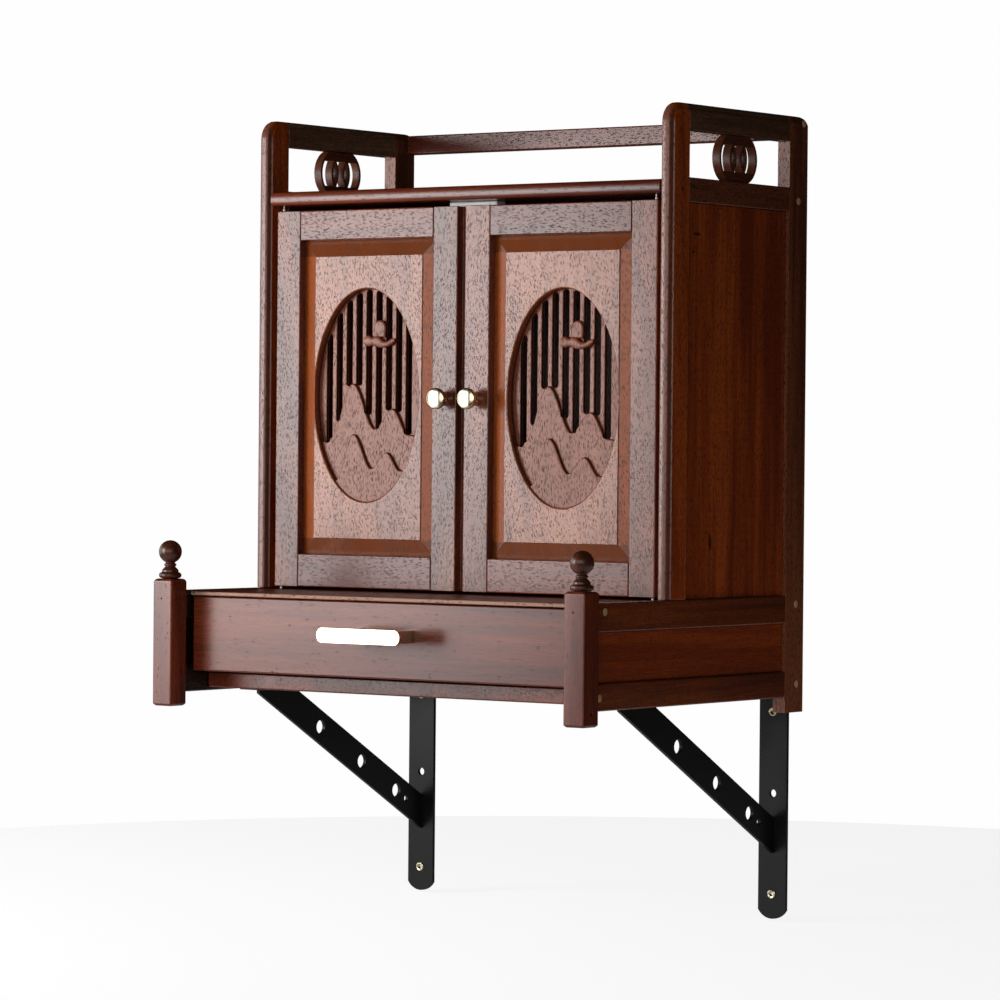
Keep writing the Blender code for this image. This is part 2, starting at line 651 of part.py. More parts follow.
def build_boards():
    front = -(CABINET_DEPTH - TOP_BOARD_SETBACK)
    back = BACK_PANEL_FRONT - GAP
    section = nosed_board(front, back, TOP_BOARD_BOTTOM, TOP_BOARD_TOP)
    add_object("top_board", prism(section, "X", -BETWEEN, BETWEEN), "frame_wood", None, SMOOTH_ANGLE)
    rail_top = FRAME_HEIGHT - BACK_RAIL_DROP
    low, high = (-BETWEEN, -BACK_RAIL_THICKNESS, rail_top - BACK_RAIL_HEIGHT), (BETWEEN, 0, rail_top)
    add_board("back_gallery_rail", low, high, "frame_wood")
    low, high = (-BETWEEN, BACK_PANEL_FRONT, BOTTOM_BOARD_BOTTOM), (BETWEEN, 0, TOP_BOARD_TOP)
    add_object("back_panel", box(low, high), "inner_wood")
    deck_bottom = DECK_TOP - DECK_THICKNESS
    rebate = DRAWER_BACK_OF_FRONT + RUNNING_GAP
    lip_radius = DECK_LIP_THICKNESS / 2
    lip_centre = (DECK_FRONT + lip_radius, DECK_TOP - lip_radius)
    section = [(back, DECK_TOP), (back, deck_bottom), (rebate, deck_bottom), (rebate, DECK_LIP_BOTTOM)]
    section += arc(lip_centre, lip_radius, 270, 90, 6)
    add_object("deck", prism(section, "X", -BETWEEN, BETWEEN), "frame_wood", None, SMOOTH_ANGLE)
    rail_front = -(BOX_DEPTH - FRONT_RAIL_SETBACK)
    rail_back = rail_front + FRONT_RAIL_DEPTH
    low, high = (-BETWEEN, rail_front, BOTTOM_BOARD_BOTTOM), (BETWEEN, rail_back, BOTTOM_BOARD_TOP)
    add_board("bottom_front_rail", low, high, "frame_wood")
    low, high = (-BETWEEN, rail_back + GAP, BOTTOM_BOARD_BOTTOM), (BETWEEN, back, BOTTOM_BOARD_TOP)
    add_object("bottom_board", box(low, high), "inner_wood")


def post_ring(middle, inset, z):
    """A level section of a corner post: a square with round corners."""
    reach = CORNER_POST_SIZE / 2 - inset - CORNER_POST_ARRIS
    points = []
    for i, (across, along) in enumerate(((1, 1), (-1, 1), (-1, -1), (1, -1))):
        corner = (middle[0] + across * reach, middle[1] + along * reach)
        points += arc(corner, CORNER_POST_ARRIS, 90 * i, 90 * i + 90, SHOULDER_STEPS)
    return [(x, y, z) for x, y in points]


def build_corner_post(name, side):
    half = CORNER_POST_SIZE / 2
    middle = (side * (HALF_WIDTH + CORNER_POST_PROUD - half), -BOX_DEPTH - GAP - half)
    foot = -BOX_HEIGHT - CORNER_POST_DROP
    rings = [post_ring(middle, CORNER_POST_ARRIS, foot), post_ring(middle, 0, foot + CORNER_POST_ARRIS)]
    for i in range(SHOULDER_STEPS + 1):
        angle = math.radians(90) * i / SHOULDER_STEPS
        inset = CORNER_POST_SHOULDER * (1 - math.cos(angle))
        drop = CORNER_POST_SHOULDER * (1 - math.sin(angle))
        rings.append(post_ring(middle, inset, CORNER_POST_RISE - drop))
    add_object(f"corner_post_{name}", loft(rings), "frame_wood", None, SMOOTH_ANGLE)
    build_finial(f"finial_{name}", (*middle, CORNER_POST_RISE + GAP))


def build_finial(name, centre):
    """A turned disc with a collar, a bead and a ball on a slim neck."""
    neck, ball = FINIAL_NECK_RADIUS, FINIAL_BALL_RADIUS
    roll = FINIAL_DISC_HEIGHT / 2
    collar_top = FINIAL_DISC_HEIGHT + FINIAL_COLLAR_HEIGHT
    bead_depth = FINIAL_BEAD_RADIUS - neck
    profile = [(0, 0)] + arc((FINIAL_DISC_RADIUS - roll, roll), roll, -90, 90, 6)
    profile += [(FINIAL_COLLAR_RADIUS, FINIAL_DISC_HEIGHT), (FINIAL_COLLAR_RADIUS, collar_top)]
    for share in (-1, -0.5, 0.5, 1):
        radius = neck + bead_depth * math.sqrt(1 - share ** 2)
        profile.append((radius, FINIAL_BEAD_Z + share * FINIAL_BEAD_HEIGHT / 2))
    start = -math.degrees(math.acos(neck / ball))
    profile += arc((0, FINIAL_HEIGHT - ball), ball, start, 90, 9)[:-1]
    profile.append((0, FINIAL_HEIGHT))
    add_object(name, turned(profile, centre, "Z"), "frame_wood", None, SMOOTH_ANGLE)


def build_drawer(slide):
    half = DRAWER_HALF_WIDTH
    low, high = (-half, DRAWER_FACE, DRAWER_FRONT_BOTTOM), (half, DRAWER_BACK_OF_FRONT, DRAWER_FRONT_TOP)
    add_board("drawer_front", low, high, "frame_wood", slide)
    start = DRAWER_BACK_OF_FRONT + GAP
    end = BACK_PANEL_FRONT - DRAWER_BACK_SPACE
    bottom = BOTTOM_BOARD_TOP + DRAWER_RUN_LIFT
    top = bottom + DRAWER_SIDE_HEIGHT
    outer = half - RUNNING_GAP
    inner = outer - DRAWER_SIDE_THICKNESS
    for name, side in SIDES:
        bm = mirrored_box(side, inner, outer, (start, bottom), (end, top))
        add_object(f"drawer_side_{name}", bm, "inner_wood", slide)
    between = inner - GAP
    floor_bottom = bottom + DRAWER_BOTTOM_LIFT
    floor_top = floor_bottom + DRAWER_BOTTOM_THICKNESS
    back_start = end - DRAWER_SIDE_THICKNESS
    bm = box((-between, back_start, floor_top + GAP), (between, end, top))
    add_object("drawer_back", bm, "inner_wood", slide)
    bm = box((-between, start, floor_bottom), (between, end, floor_top))
    add_object("drawer_bottom", bm, "inner_wood", slide)
    build_pull(slide)


def build_pull(slide):
    """A flat bar with bowed ends on two square feet."""
    half_height = PULL_HEIGHT / 2
    shoulder = PULL_LENGTH / 2 - PULL_END_BULGE
    end = bowed_end(half_height, PULL_END_BULGE, 8)
    outline = [(shoulder + along, PULL_CENTRE_Z - across) for across, along in end]
    outline += [(-x, 2 * PULL_CENTRE_Z - z) for x, z in outline]
    face = DRAWER_FACE - PULL_REACH
    plate_back = face + PULL_PLATE_THICKNESS
    pull = add_object("drawer_pull", prism(outline, "Y", face, plate_back), "brass", slide, SMOOTH_ANGLE)
    feet_end = DRAWER_FACE - GAP
    for name, side in SIDES:
        near = PULL_FOOT_SPACING / 2 - PULL_FOOT_WIDTH / 2
        low = (face + PULL_PLATE_THICKNESS / 2, PULL_CENTRE_Z - PULL_FOOT_HEIGHT / 2)
        high = (feet_end, PULL_CENTRE_Z + PULL_FOOT_HEIGHT / 2)
        bm = mirrored_box(side, near, near + PULL_FOOT_WIDTH, low, high)
        cut_or_join(pull, f"pull_foot_{name}", bm, "UNION", slide)


def frame_member_section(width, lip=0.0):
    """Section of a door frame member as distance from the outer edge and depth from the face.

    The panel groove is in the inner edge, and a lip may stand out of the outer edge at the back.
    """
    groove_back = GROOVE_FRONT + GROOVE_WIDTH
    section = [(DOOR_ARRIS, 0), (width - DOOR_ARRIS, 0), (width, DOOR_ARRIS), (width, GROOVE_FRONT)]
    section += [(width - GROOVE_DEPTH, GROOVE_FRONT), (width - GROOVE_DEPTH, groove_back)]
    section += [(width, groove_back), (width, DOOR_THICKNESS)]
    if lip:
        step = DOOR_THICKNESS - MEETING_LIP_THICKNESS
        section += [(-lip, DOOR_THICKNESS), (-lip, step), (0, step)]
    else:
        section += [(0, DOOR_THICKNESS)]
    return section + [(0, DOOR_ARRIS)]


def add_stile(name, edge, inward, lip, finish, pivot):
    """An upright door member from its outer edge, going inward towards the panel."""
    section = [(edge + inward * w, DOOR_FACE + d) for w, d in frame_member_section(STILE_WIDTH, lip)]
    return add_object(name, prism(section, "Z", DOOR_BOTTOM, DOOR_TOP), finish, pivot)


def add_door_rail(name, edge, inward, width, x_range, pivot):
    """A level door member between the stiles."""
    section = [(DOOR_FACE + d, edge + inward * w) for w, d in frame_member_section(width)]
    return add_object(name, prism(section, "X", x_range[0], x_range[1]), "frame_wood", pivot)


def rectangle_ring(centre_x, half_width, half_height, y):
    left, right = centre_x - half_width, centre_x + half_width
    bottom, top = PANEL_CENTRE_Z - half_height, PANEL_CENTRE_Z + half_height
    return [(left, y, bottom), (right, y, bottom), (right, y, top), (left, y, top)]


def raised_panel(centre_x):
    """The panel's board: tongue, mitred bevel, small step and raised field."""
    tongue = GROOVE_DEPTH - TONGUE_CLEARANCE
    tongue_front = DOOR_FACE + GROOVE_FRONT + GAP
    tongue_back = DOOR_FACE + GROOVE_FRONT + GROOVE_WIDTH - GAP
    field = DOOR_FACE + FIELD_SINK
    offsets = (
        (-PANEL_BACK_MARGIN, DOOR_BACK - PANEL_BACK_SINK),
        (-PANEL_BACK_MARGIN, tongue_back),
        (tongue, tongue_back),
        (tongue, tongue_front),
        (-GAP, tongue_front),
        (-BEVEL_WIDTH, field + FIELD_STEP),
        (-BEVEL_WIDTH, field),
    )
    rings = []
    for offset, y in offsets:
        rings.append(rectangle_ring(centre_x, OPENING_HALF_WIDTH + offset, OPENING_HALF_HEIGHT + offset, y))
    return loft(rings)


def oval_ring(middle, inset, y):
    points = []
    for i in range(OVAL_STEPS):
        angle = math.tau * i / OVAL_STEPS
        x = middle[0] + (OVAL_HALF_WIDTH - inset) * math.cos(angle)
        points.append((x, y, middle[1] + (OVAL_HALF_HEIGHT - inset) * math.sin(angle)))
    return points


def oval_height(x, inset):
    """Half height of the oval at a place across the picture."""
    share = min(abs(x + PICTURE_SHIFT) / (OVAL_HALF_WIDTH - inset), 1)
    return (OVAL_HALF_HEIGHT - inset) * math.sqrt(1 - share ** 2)


def range_height(turns, x):
    """Height of a mountain range, easing from each turning point to the next."""
    if x <= turns[0][0]:
        return turns[0][1]
    for (x0, z0), (x1, z1) in zip(turns, turns[1:]):
        if x <= x1:
            share = (x - x0) / (x1 - x0)
            return z0 + (z1 - z0) * (1 - math.cos(math.pi * share)) / 2
    return turns[-1][1]


def range_outline(turns):
    """A mountain range down to the foot of the oval, reaching just into the recess wall."""
    bite = -RECESS_DRAFT
    top = []
    for (x0, _), (x1, _) in zip(turns, turns[1:]):
        top += [x0 + (x1 - x0) * i / RANGE_STEPS for i in range(RANGE_STEPS)]
    top.append(turns[-1][0])
    ridge = [(x, range_height(turns, x)) for x in top]
    half_height = OVAL_HALF_HEIGHT - bite
    start = math.degrees(math.asin(ridge[-1][1] / half_height))
    end = -180 - math.degrees(math.asin(ridge[0][1] / half_height))
    foot = []
    for x, z in arc((0, 0), 1, start, end, OVAL_STEPS // 2):
        foot.append((x * (OVAL_HALF_WIDTH - bite) - PICTURE_SHIFT, z * half_height))
    return ridge + foot


def relief_prism(outline, middle, sink):
    """A level figure of the relief, standing on the back of the panel."""
    points = [(middle[0] + x, middle[1] + z) for x, z in outline]
    back = DOOR_BACK - PANEL_BACK_SINK - GAP
    return prism(points, "Y", DOOR_FACE + FIELD_SINK + sink, back)


def rounded_figure(outline, middle, sink):
    """A figure of the relief with a rounded shoulder."""
    middle_x = sum(x for x, _ in outline) / len(outline)
    middle_z = sum(z for _, z in outline) / len(outline)
    reach = max(math.hypot(x - middle_x, z - middle_z) for x, z in outline)
    front = DOOR_FACE + FIELD_SINK + sink
    back = DOOR_BACK - PANEL_BACK_SINK - GAP
    rings = []
    for inset, y in ((0, back), (0, front + FIGURE_SHOULDER), (FIGURE_SHOULDER, front)):
        share = 1 - inset / reach
        ring = []
        for x, z in outline:
            px = middle_x + (x - middle_x) * share
            pz = middle_z + (z - middle_z) * share
            ring.append((middle[0] + px, y, middle[1] + pz))
        rings.append(ring)
    return loft(rings)


def sun_outline():
    """A round-headed sun that rises from behind the cloud."""
    x, z = SUN_CENTRE
    foot = [(x - SUN_FOOT_HALF_WIDTH, z - SUN_FOOT), (x + SUN_FOOT_HALF_WIDTH, z - SUN_FOOT)]
    return foot + arc((x, z), SUN_RADIUS, 0, 180, 10)


def ease_along(stations, share):
    """A smooth value through evenly numbered stations (Catmull-Rom)."""
    position = share * (len(stations) - 1)
    i = min(int(position), len(stations) - 2)
    t = position - i
    before, after = max(i - 1, 0), min(i + 2, len(stations) - 1)
    values = []
    for p0, p1, p2, p3 in zip(stations[before], stations[i], stations[i + 1], stations[after]):
        slope_in, slope_out = (p2 - p0) / 2, (p3 - p1) / 2
        change = p2 - p1
        values.append(p1 + slope_in * t + (3 * change - 2 * slope_in - slope_out) * t ** 2
                      + (slope_in + slope_out - 2 * change) * t ** 3)
    return values


def cloud_outline():
    """A drifting cloud: a thick lobe that waves out into a thin tail."""
    steps = 16
    line = [ease_along(CLOUD_LINE, i / steps) for i in range(steps + 1)]
    upper = [(x, z + half) for x, z, half in line]
    lower = [(x, z - half) for x, z, half in line]
    return lower + upper[::-1]


def slot_outline(x, foot):
    """A slot with small round corners, which stops short of the oval's edge."""
    half, corner = SLOT_WIDTH / 2, SLOT_CORNER
    points = arc((x - half + corner, foot + corner), corner, 180, 270, 3)
    points += arc((x + half - corner, foot + corner), corner, 270, 360, 3)
    head = oval_height(x, RECESS_DRAFT + SLOT_TOP_MARGIN)
    top = arc((x + half - corner, head - corner), corner, 0, 90, 3)
    top += arc((x - half + corner, head - corner), corner, 90, 180, 3)
    return points + [(px, min(pz, oval_height(px, RECESS_DRAFT + GAP))) for px, pz in top]


def slot_prisms(middle):
    """Upright slots from the mountains up to the oval's edge."""
    bm = bmesh.new()
    front = DOOR_FACE + FIELD_SINK
    back = DOOR_BACK + GAP
    for i, foot in enumerate(SLOT_FEET):
        x = (i - (len(SLOT_FEET) - 1) / 2) * SLOT_PITCH
        outline = [(middle[0] + px, middle[1] + pz) for px, pz in slot_outline(x, foot)]
        rings = [[bm.verts.new(lift(point, "Y", y)) for point in outline] for y in (front, back)]
        count = len(outline)
        for j in range(count):
            k = (j + 1) % count
            bm.faces.new((rings[0][j], rings[0][k], rings[1][k], rings[1][j]))
        bm.faces.new(rings[0])
        bm.faces.new(rings[1])
    return bm


def build_panel(name, centre_x, pivot):
    """A raised panel with a pierced picture of mountains, sun and cloud sunk in an oval."""
    panel = add_object(f"door_panel_{name}", raised_panel(centre_x), "panel_wood", pivot)
    offset = OVAL_OFFSETS[name]
    oval = (centre_x + offset[0], PANEL_CENTRE_Z + offset[1])
    picture = (oval[0] + PICTURE_SHIFT, oval[1])
    front = DOOR_FACE + FIELD_SINK
    mouth = oval_ring(oval, -RECESS_DRAFT, front - RECESS_DEPTH)
    floor = oval_ring(oval, RECESS_DRAFT, front + RECESS_DEPTH)
    cuts_and_figures = (
        ("recess", loft([mouth, floor]), "DIFFERENCE"),
        ("back_range", relief_prism(range_outline(BACK_RANGE), picture, BACK_RANGE_SINK), "UNION"),
        ("slots", slot_prisms(picture), "DIFFERENCE"),
        ("front_range", relief_prism(range_outline(FRONT_RANGE), picture, FRONT_RANGE_SINK), "UNION"),
        ("sun", rounded_figure(sun_outline(), picture, SUN_SINK), "UNION"),
        ("cloud", rounded_figure(cloud_outline(), picture, CLOUD_SINK), "UNION"),
    )
    for shape, bm, operation in cuts_and_figures:
        cut_or_join(panel, f"{shape}_{name}", bm, operation, pivot)


def build_door(name, side):
    """One door, hung on an upright axis near its outer front edge."""
    pivot = add_empty(f"door_{name}_pivot", (side * HINGE_X, HINGE_Y, 0))
    centre_x = side * DOOR_CENTRE_X
    lip = MEETING_LIP_WIDTH if name == "left" else 0.0
    hinge_stile = add_stile(f"hinge_stile_{name}", side * DOOR_OUTER, -side, 0.0, "frame_wood", pivot)
    add_stile(f"lock_stile_{name}", side * DOOR_INNER, side, lip, "frame_wood", pivot)
    for end, z in (("top", DOOR_TOP), ("bottom", DOOR_BOTTOM)):
        inward = -1 if end == "top" else 1
        start = z - inward * PIN_HOLE_DEPTH
        centre = (side * HINGE_X, HINGE_Y, min(start, start + 2 * inward * PIN_HOLE_DEPTH))
        radius = PIN_RADIUS + PIN_CLEARANCE
        profile = [(0, 0), (radius, 0), (radius, 2 * PIN_HOLE_DEPTH), (0, 2 * PIN_HOLE_DEPTH)]
        hole = turned(profile, centre, "Z", HOLE_STEPS)
        cut_or_join(hinge_stile, f"pin_hole_{end}_{name}", hole, "DIFFERENCE", pivot)
    reach = OPENING_HALF_WIDTH - GAP
    x_range = (centre_x - reach, centre_x + reach)
    add_door_rail(f"door_top_rail_{name}", DOOR_TOP, -1, TOP_RAIL_WIDTH, x_range, pivot)
    add_door_rail(f"door_bottom_rail_{name}", DOOR_BOTTOM, 1, BOTTOM_RAIL_WIDTH, x_range, pivot)
    build_panel(name, centre_x, pivot)
    build_knob(name, side, pivot)
    build_pins(name, side)


def build_knob(name, side, pivot):
    """A mushroom knob: stout base, slim neck and domed head."""
    head, base, neck = KNOB_HEAD_RADIUS, KNOB_BASE_RADIUS, KNOB_NECK_RADIUS
    head_back = KNOB_REACH - KNOB_HEAD_THICKNESS
    neck_middle = (KNOB_BASE_LENGTH + head_back) / 2
    neck_start, neck_end = neck_middle - KNOB_NECK_LENGTH / 2, neck_middle + KNOB_NECK_LENGTH / 2
    profile = [(0, GAP), (base, GAP), (base, KNOB_BASE_LENGTH), (neck, neck_start), (neck, neck_end)]
    profile += [(head - KNOB_RIM, head_back), (head, head_back + KNOB_RIM)]
    dome = KNOB_HEAD_THICKNESS - KNOB_RIM
    for i in range(1, DOME_STEPS):
        angle = math.radians(90) * i / DOME_STEPS
        profile.append((head * math.cos(angle), head_back + KNOB_RIM + dome * math.sin(angle)))
    profile.append((0, KNOB_REACH))
    centre = (side * (DOOR_INNER + KNOB_INSET), DOOR_FACE, KNOB_Z)
    add_object(f"knob_{name}", turned(profile, centre, "-Y"), "brass", pivot, SMOOTH_ANGLE)


def build_pins(name, side):
    """Pivot pins: a flange on the board and a pin in the door's end."""
    flange, pin = PIN_FLANGE_RADIUS, PIN_RADIUS
    for end, board, door, direction in (
        ("top", TOP_BOARD_BOTTOM, DOOR_TOP, -1),
        ("bottom", DECK_TOP, DOOR_BOTTOM, 1),
    ):
        length = abs(door - board) + PIN_REACH
        heights = (GAP, PIN_FLANGE_THICKNESS, PIN_FLANGE_THICKNESS, length)
        radii = (flange, flange, pin, pin)
        profile = [(0, heights[0] * direction)]
        profile += [(radius, height * direction) for radius, height in zip(radii, heights)]
        profile.append((0, length * direction))
        centre = (side * HINGE_X, HINGE_Y, board)
        add_object(f"pivot_pin_{end}_{name}", turned(profile, centre, "Z", 12), "white_plastic")


def build_catch():
    front = DOOR_BACK + CATCH_GAP
    top = TOP_BOARD_BOTTOM - GAP
    low, high = (-CATCH_LENGTH / 2, front, top - CATCH_HEIGHT), (CATCH_LENGTH / 2, front + CATCH_DEPTH, top)
    add_board("magnetic_catch", low, high, "white_plastic")


def strap_section():
    """The bent bar of a bracket in the YZ plane: an arm under the box and a strap down the wall."""
    bend, thick = STRAP_BEND_RADIUS, STRAP_THICKNESS
    outer = arc((-bend, ARM_TOP - bend), bend, 0, 90, 4)
    section = [(0, STRAP_BOTTOM)] + outer + [(-ARM_LENGTH, ARM_TOP), (-ARM_LENGTH, ARM_BOTTOM)]
    section += arc((-thick - bend, ARM_BOTTOM - bend), bend, 90, 0, 4) + [(-thick, STRAP_BOTTOM)]
    return section


def build_bracket(name, side):
    half = STRAP_WIDTH / 2
    centre = side * (INNER - BRACKET_CLEARANCE - half)
    bar = prism(strap_section(), "X", centre - half, centre + half)
    strap = add_object(f"bracket_strap_{name}", bar, "black_steel", None, SMOOTH_ANGLE)
    end = bowed_end(half, STRAP_END_BULGE, 10)
    outline = [(centre + across, STRAP_BOTTOM + STRAP_END_BULGE - along) for across, along in end]
    clear_top = ARM_TOP + STRAP_WIDTH
    outline += [(centre - half - GAP, clear_top), (centre + half + GAP, clear_top)]
    holes = [circle((centre, -BOX_HEIGHT - STRAP_HOLE_DROP), STRAP_HOLE_RADIUS)]
    holes += [circle((centre, -BOX_HEIGHT - drop), EYELET_HOLE_RADIUS) for drop in EYELET_DROPS]
    blank = plate([outline] + holes, "Y", -ARM_LENGTH - STRAP_WIDTH, STRAP_WIDTH)
    cut_or_join(strap, f"strap_blank_{name}", blank, "INTERSECT")
    for i, reach in enumerate(ARM_HOLES):
        hole = prism(circle((centre, -reach), ARM_HOLE_RADIUS), "Z", ARM_BOTTOM - GAP, ARM_TOP + GAP)
        cut_or_join(strap, f"arm_hole_{i}_{name}", hole, "DIFFERENCE")
    build_strut(name, centre)
    for end_name, drop in zip(("upper", "lower"), EYELET_DROPS):
        build_eyelet(f"eyelet_{end_name}_{name}", (centre, -STRAP_THICKNESS, -BOX_HEIGHT - drop))


def build_strut(name, centre):
    """A flat bar on edge from the strap up to the arm, with a row of holes."""
    slope = math.tan(STRUT_ANGLE)
    back = -STRAP_THICKNESS - GAP
    top = ARM_BOTTOM - GAP
    foot_low = -BOX_HEIGHT - STRUT_FOOT_DROP
    foot_high = foot_low + STRUT_WIDTH / math.cos(STRUT_ANGLE)
    tip = back - (top - foot_low) / slope
    shoulder = back - (top - foot_high) / slope
    cut = tip + STRUT_NOSE_CUT
    outline = [(back, foot_low), (back, foot_high), (shoulder, top), (cut, top)]
    outline.append((cut, top - STRUT_NOSE_CUT * slope))
    foot_middle = (foot_low + foot_high) / 2
    holes = []
    for distance, radius in STRUT_HOLES:
        y = back - distance * math.cos(STRUT_ANGLE)
        holes.append(circle((y, foot_middle + distance * math.sin(STRUT_ANGLE)), radius, TURNED_STEPS))
    half = STRUT_THICKNESS / 2
    bm = plate([outline] + holes, "X", centre - half, centre + half)
    add_object(f"bracket_strut_{name}", bm, "black_steel", None, SMOOTH_ANGLE)


def build_eyelet(name, centre):
    """A flanged ring set in a hole of the strap."""
    bore, barrel = EYELET_BORE_RADIUS, EYELET_HOLE_RADIUS - GAP
    profile = [(bore, -STRAP_THICKNESS + GAP), (barrel, -STRAP_THICKNESS + GAP), (barrel, GAP)]
    shoulder = EYELET_THICKNESS - EYELET_ROUNDING
    profile += [(EYELET_RADIUS, GAP), (EYELET_RADIUS - EYELET_ROUNDING, shoulder)]
    profile += [((EYELET_RADIUS + bore) / 2, EYELET_THICKNESS), (bore, shoulder)]
    add_object(name, turned(profile, centre, "-Y", HOLE_STEPS, closed=True), "brass", None, SMOOTH_ANGLE)


def build():
    clear_scene()
    for name, side in SIDES:
        build_side_frame(name, side)
        build_corner_post(name, side)
        build_door(name, side)
        build_bracket(name, side)
    build_boards()
    build_catch()
    build_drawer(add_empty("drawer_slide", (0, DRAWER_FACE, DRAWER_FRONT_BOTTOM)))


build()
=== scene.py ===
"""Wall-mounted altar shelf: the finish of every surface, the camera and the light.

Metres, +Z up, in the frame's own axes: X across, -Y the front, and the wall at Y = 0.
"""
import json
import math
import random

import bmesh
import bpy
from mathutils import Matrix, Vector


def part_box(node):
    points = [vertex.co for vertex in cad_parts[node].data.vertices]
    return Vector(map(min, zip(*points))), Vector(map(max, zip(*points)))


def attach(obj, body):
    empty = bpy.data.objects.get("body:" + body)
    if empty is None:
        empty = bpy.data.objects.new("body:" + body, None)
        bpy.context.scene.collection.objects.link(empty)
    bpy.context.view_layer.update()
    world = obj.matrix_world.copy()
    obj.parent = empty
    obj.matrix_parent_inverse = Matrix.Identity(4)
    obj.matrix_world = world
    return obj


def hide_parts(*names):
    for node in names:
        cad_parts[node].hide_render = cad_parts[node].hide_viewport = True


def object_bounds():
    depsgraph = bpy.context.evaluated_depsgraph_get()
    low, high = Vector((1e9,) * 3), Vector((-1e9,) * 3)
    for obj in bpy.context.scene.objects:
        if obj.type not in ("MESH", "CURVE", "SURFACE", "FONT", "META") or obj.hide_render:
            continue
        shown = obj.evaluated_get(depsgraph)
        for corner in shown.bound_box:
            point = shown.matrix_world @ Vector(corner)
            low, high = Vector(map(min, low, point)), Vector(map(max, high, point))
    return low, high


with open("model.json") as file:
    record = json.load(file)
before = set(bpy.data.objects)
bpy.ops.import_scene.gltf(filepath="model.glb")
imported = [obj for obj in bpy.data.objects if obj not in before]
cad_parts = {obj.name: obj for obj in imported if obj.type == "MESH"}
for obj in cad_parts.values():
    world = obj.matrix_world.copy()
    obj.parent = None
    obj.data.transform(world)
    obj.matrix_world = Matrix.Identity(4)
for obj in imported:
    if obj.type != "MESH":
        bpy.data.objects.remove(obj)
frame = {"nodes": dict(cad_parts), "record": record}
CAD_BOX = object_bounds()
NODES = frame["nodes"]
BODY_OF = {}
for body_name, members in frame["record"]["behaviour"]["bodies"].items():
    for member in members:
        BODY_OF[member] = body_name
SIDES = (("left", -1), ("right", 1))

# Camera, fitted to the photograph's 1000 pixel frame
CAMERA_PLACE = (2.5248, -3.6645, 0.1363)
CAMERA_YAW = math.radians(35.837)
CAMERA_PITCH = math.radians(-0.597)
CAMERA_ROLL = math.radians(0.515)
SENSOR_WIDTH = 36.0
CAMERA_LENS = 156.796
CAMERA_REACH = 50

# Softened edges
EDGE_WIDTH = 0.0006
METAL_EDGE = 0.0005
EYELET_EDGE = 0.0002
EDGE_STEPS = 2
EDGE_ANGLE = math.radians(30)
WELD_DISTANCE = 1e-6
FLAT_ANGLE = math.radians(0.4)


# Camera


def place_camera():
    """A long lens from the right front, level with the drawer box."""
    forward = Vector((
        -math.sin(CAMERA_YAW) * math.cos(CAMERA_PITCH),
        math.cos(CAMERA_YAW) * math.cos(CAMERA_PITCH),
        math.sin(CAMERA_PITCH),
    ))
    level = Vector((math.cos(CAMERA_YAW), math.sin(CAMERA_YAW), 0))
    above = level.cross(forward)
    right = level * math.cos(CAMERA_ROLL) + above * math.sin(CAMERA_ROLL)
    up = above * math.cos(CAMERA_ROLL) - level * math.sin(CAMERA_ROLL)
    data = bpy.data.cameras.new("camera")
    data.sensor_width = SENSOR_WIDTH
    data.lens = CAMERA_LENS
    data.clip_end = CAMERA_REACH
    camera = bpy.data.objects.new("camera", data)
    turn = Matrix((right, up, -forward)).transposed().to_4x4()
    camera.matrix_world = Matrix.Translation(CAMERA_PLACE) @ turn
    bpy.context.scene.collection.objects.link(camera)
    bpy.context.scene.camera = camera


# Light and floor

SOFTBOX_AIM = Vector((0, -0.25, 0.2))
FLOOR_DROP = 0.002
FLOOR_RADIUS = 1.1
FLOOR_STEPS = 96
FLOOR_TONE = (0.3, 0.3, 0.3)
FLOOR_ROUGHNESS = 0.9
# How bright the floor looks, and how brightly it lights the part
FLOOR_WHITE = 0.86
FLOOR_GLOW = 0.3
ROOM_TINT = (1.0, 0.98, 0.96)
ROOM_GLOW = 0.015
BACKDROP_WHITE = 0.99
# Softboxes: azimuth (0 straight in front, positive to the right), elevation, distance, width, height,
# radiance, and the shares over which each fades out at its left, right, bottom and top
SOFTBOXES = {
    "key": (-43, -2.3, 1.72, 1.12, 1.30, 10.4, (0.42, 0.12, 0.61, 0.19)),
    "wrap": (-82, 2, 1.9, 1.3, 1.6, 2.2, (0.3, 0.3, 0.3, 0.3)),
    "fill": (20, 5, 2.6, 4.3, 1.6, 1.75, (0.03, 0.3, 0.3, 0.3)),
}


def fade_to_edges(data, shares):
    """Lets an area light's brightness ease up from each edge."""
    data.use_nodes = True
    nodes, links = data.node_tree.nodes, data.node_tree.links
    place = nodes.new("ShaderNodeNewGeometry")
    split = nodes.new("ShaderNodeSeparateXYZ")
    links.new(place.outputs["Parametric"], split.inputs["Vector"])
    strength = None
    for (axis, edge), share in zip((("X", 0), ("X", 1), ("Y", 0), ("Y", 1)), shares):
        ease = nodes.new("ShaderNodeMapRange")
        ease.interpolation_type = "SMOOTHSTEP"
        ease.inputs["From Min"].default_value = edge
        ease.inputs["From Max"].default_value = abs(edge - share)
        links.new(split.outputs[axis], ease.inputs["Value"])
        if strength is None:
            strength = ease.outputs["Result"]
            continue
        both = nodes.new("ShaderNodeMath")
        both.operation = "MULTIPLY"
        links.new(strength, both.inputs[0])
        links.new(ease.outputs["Result"], both.inputs[1])
        strength = both.outputs[0]
    links.new(strength, nodes["Emission"].inputs["Strength"])


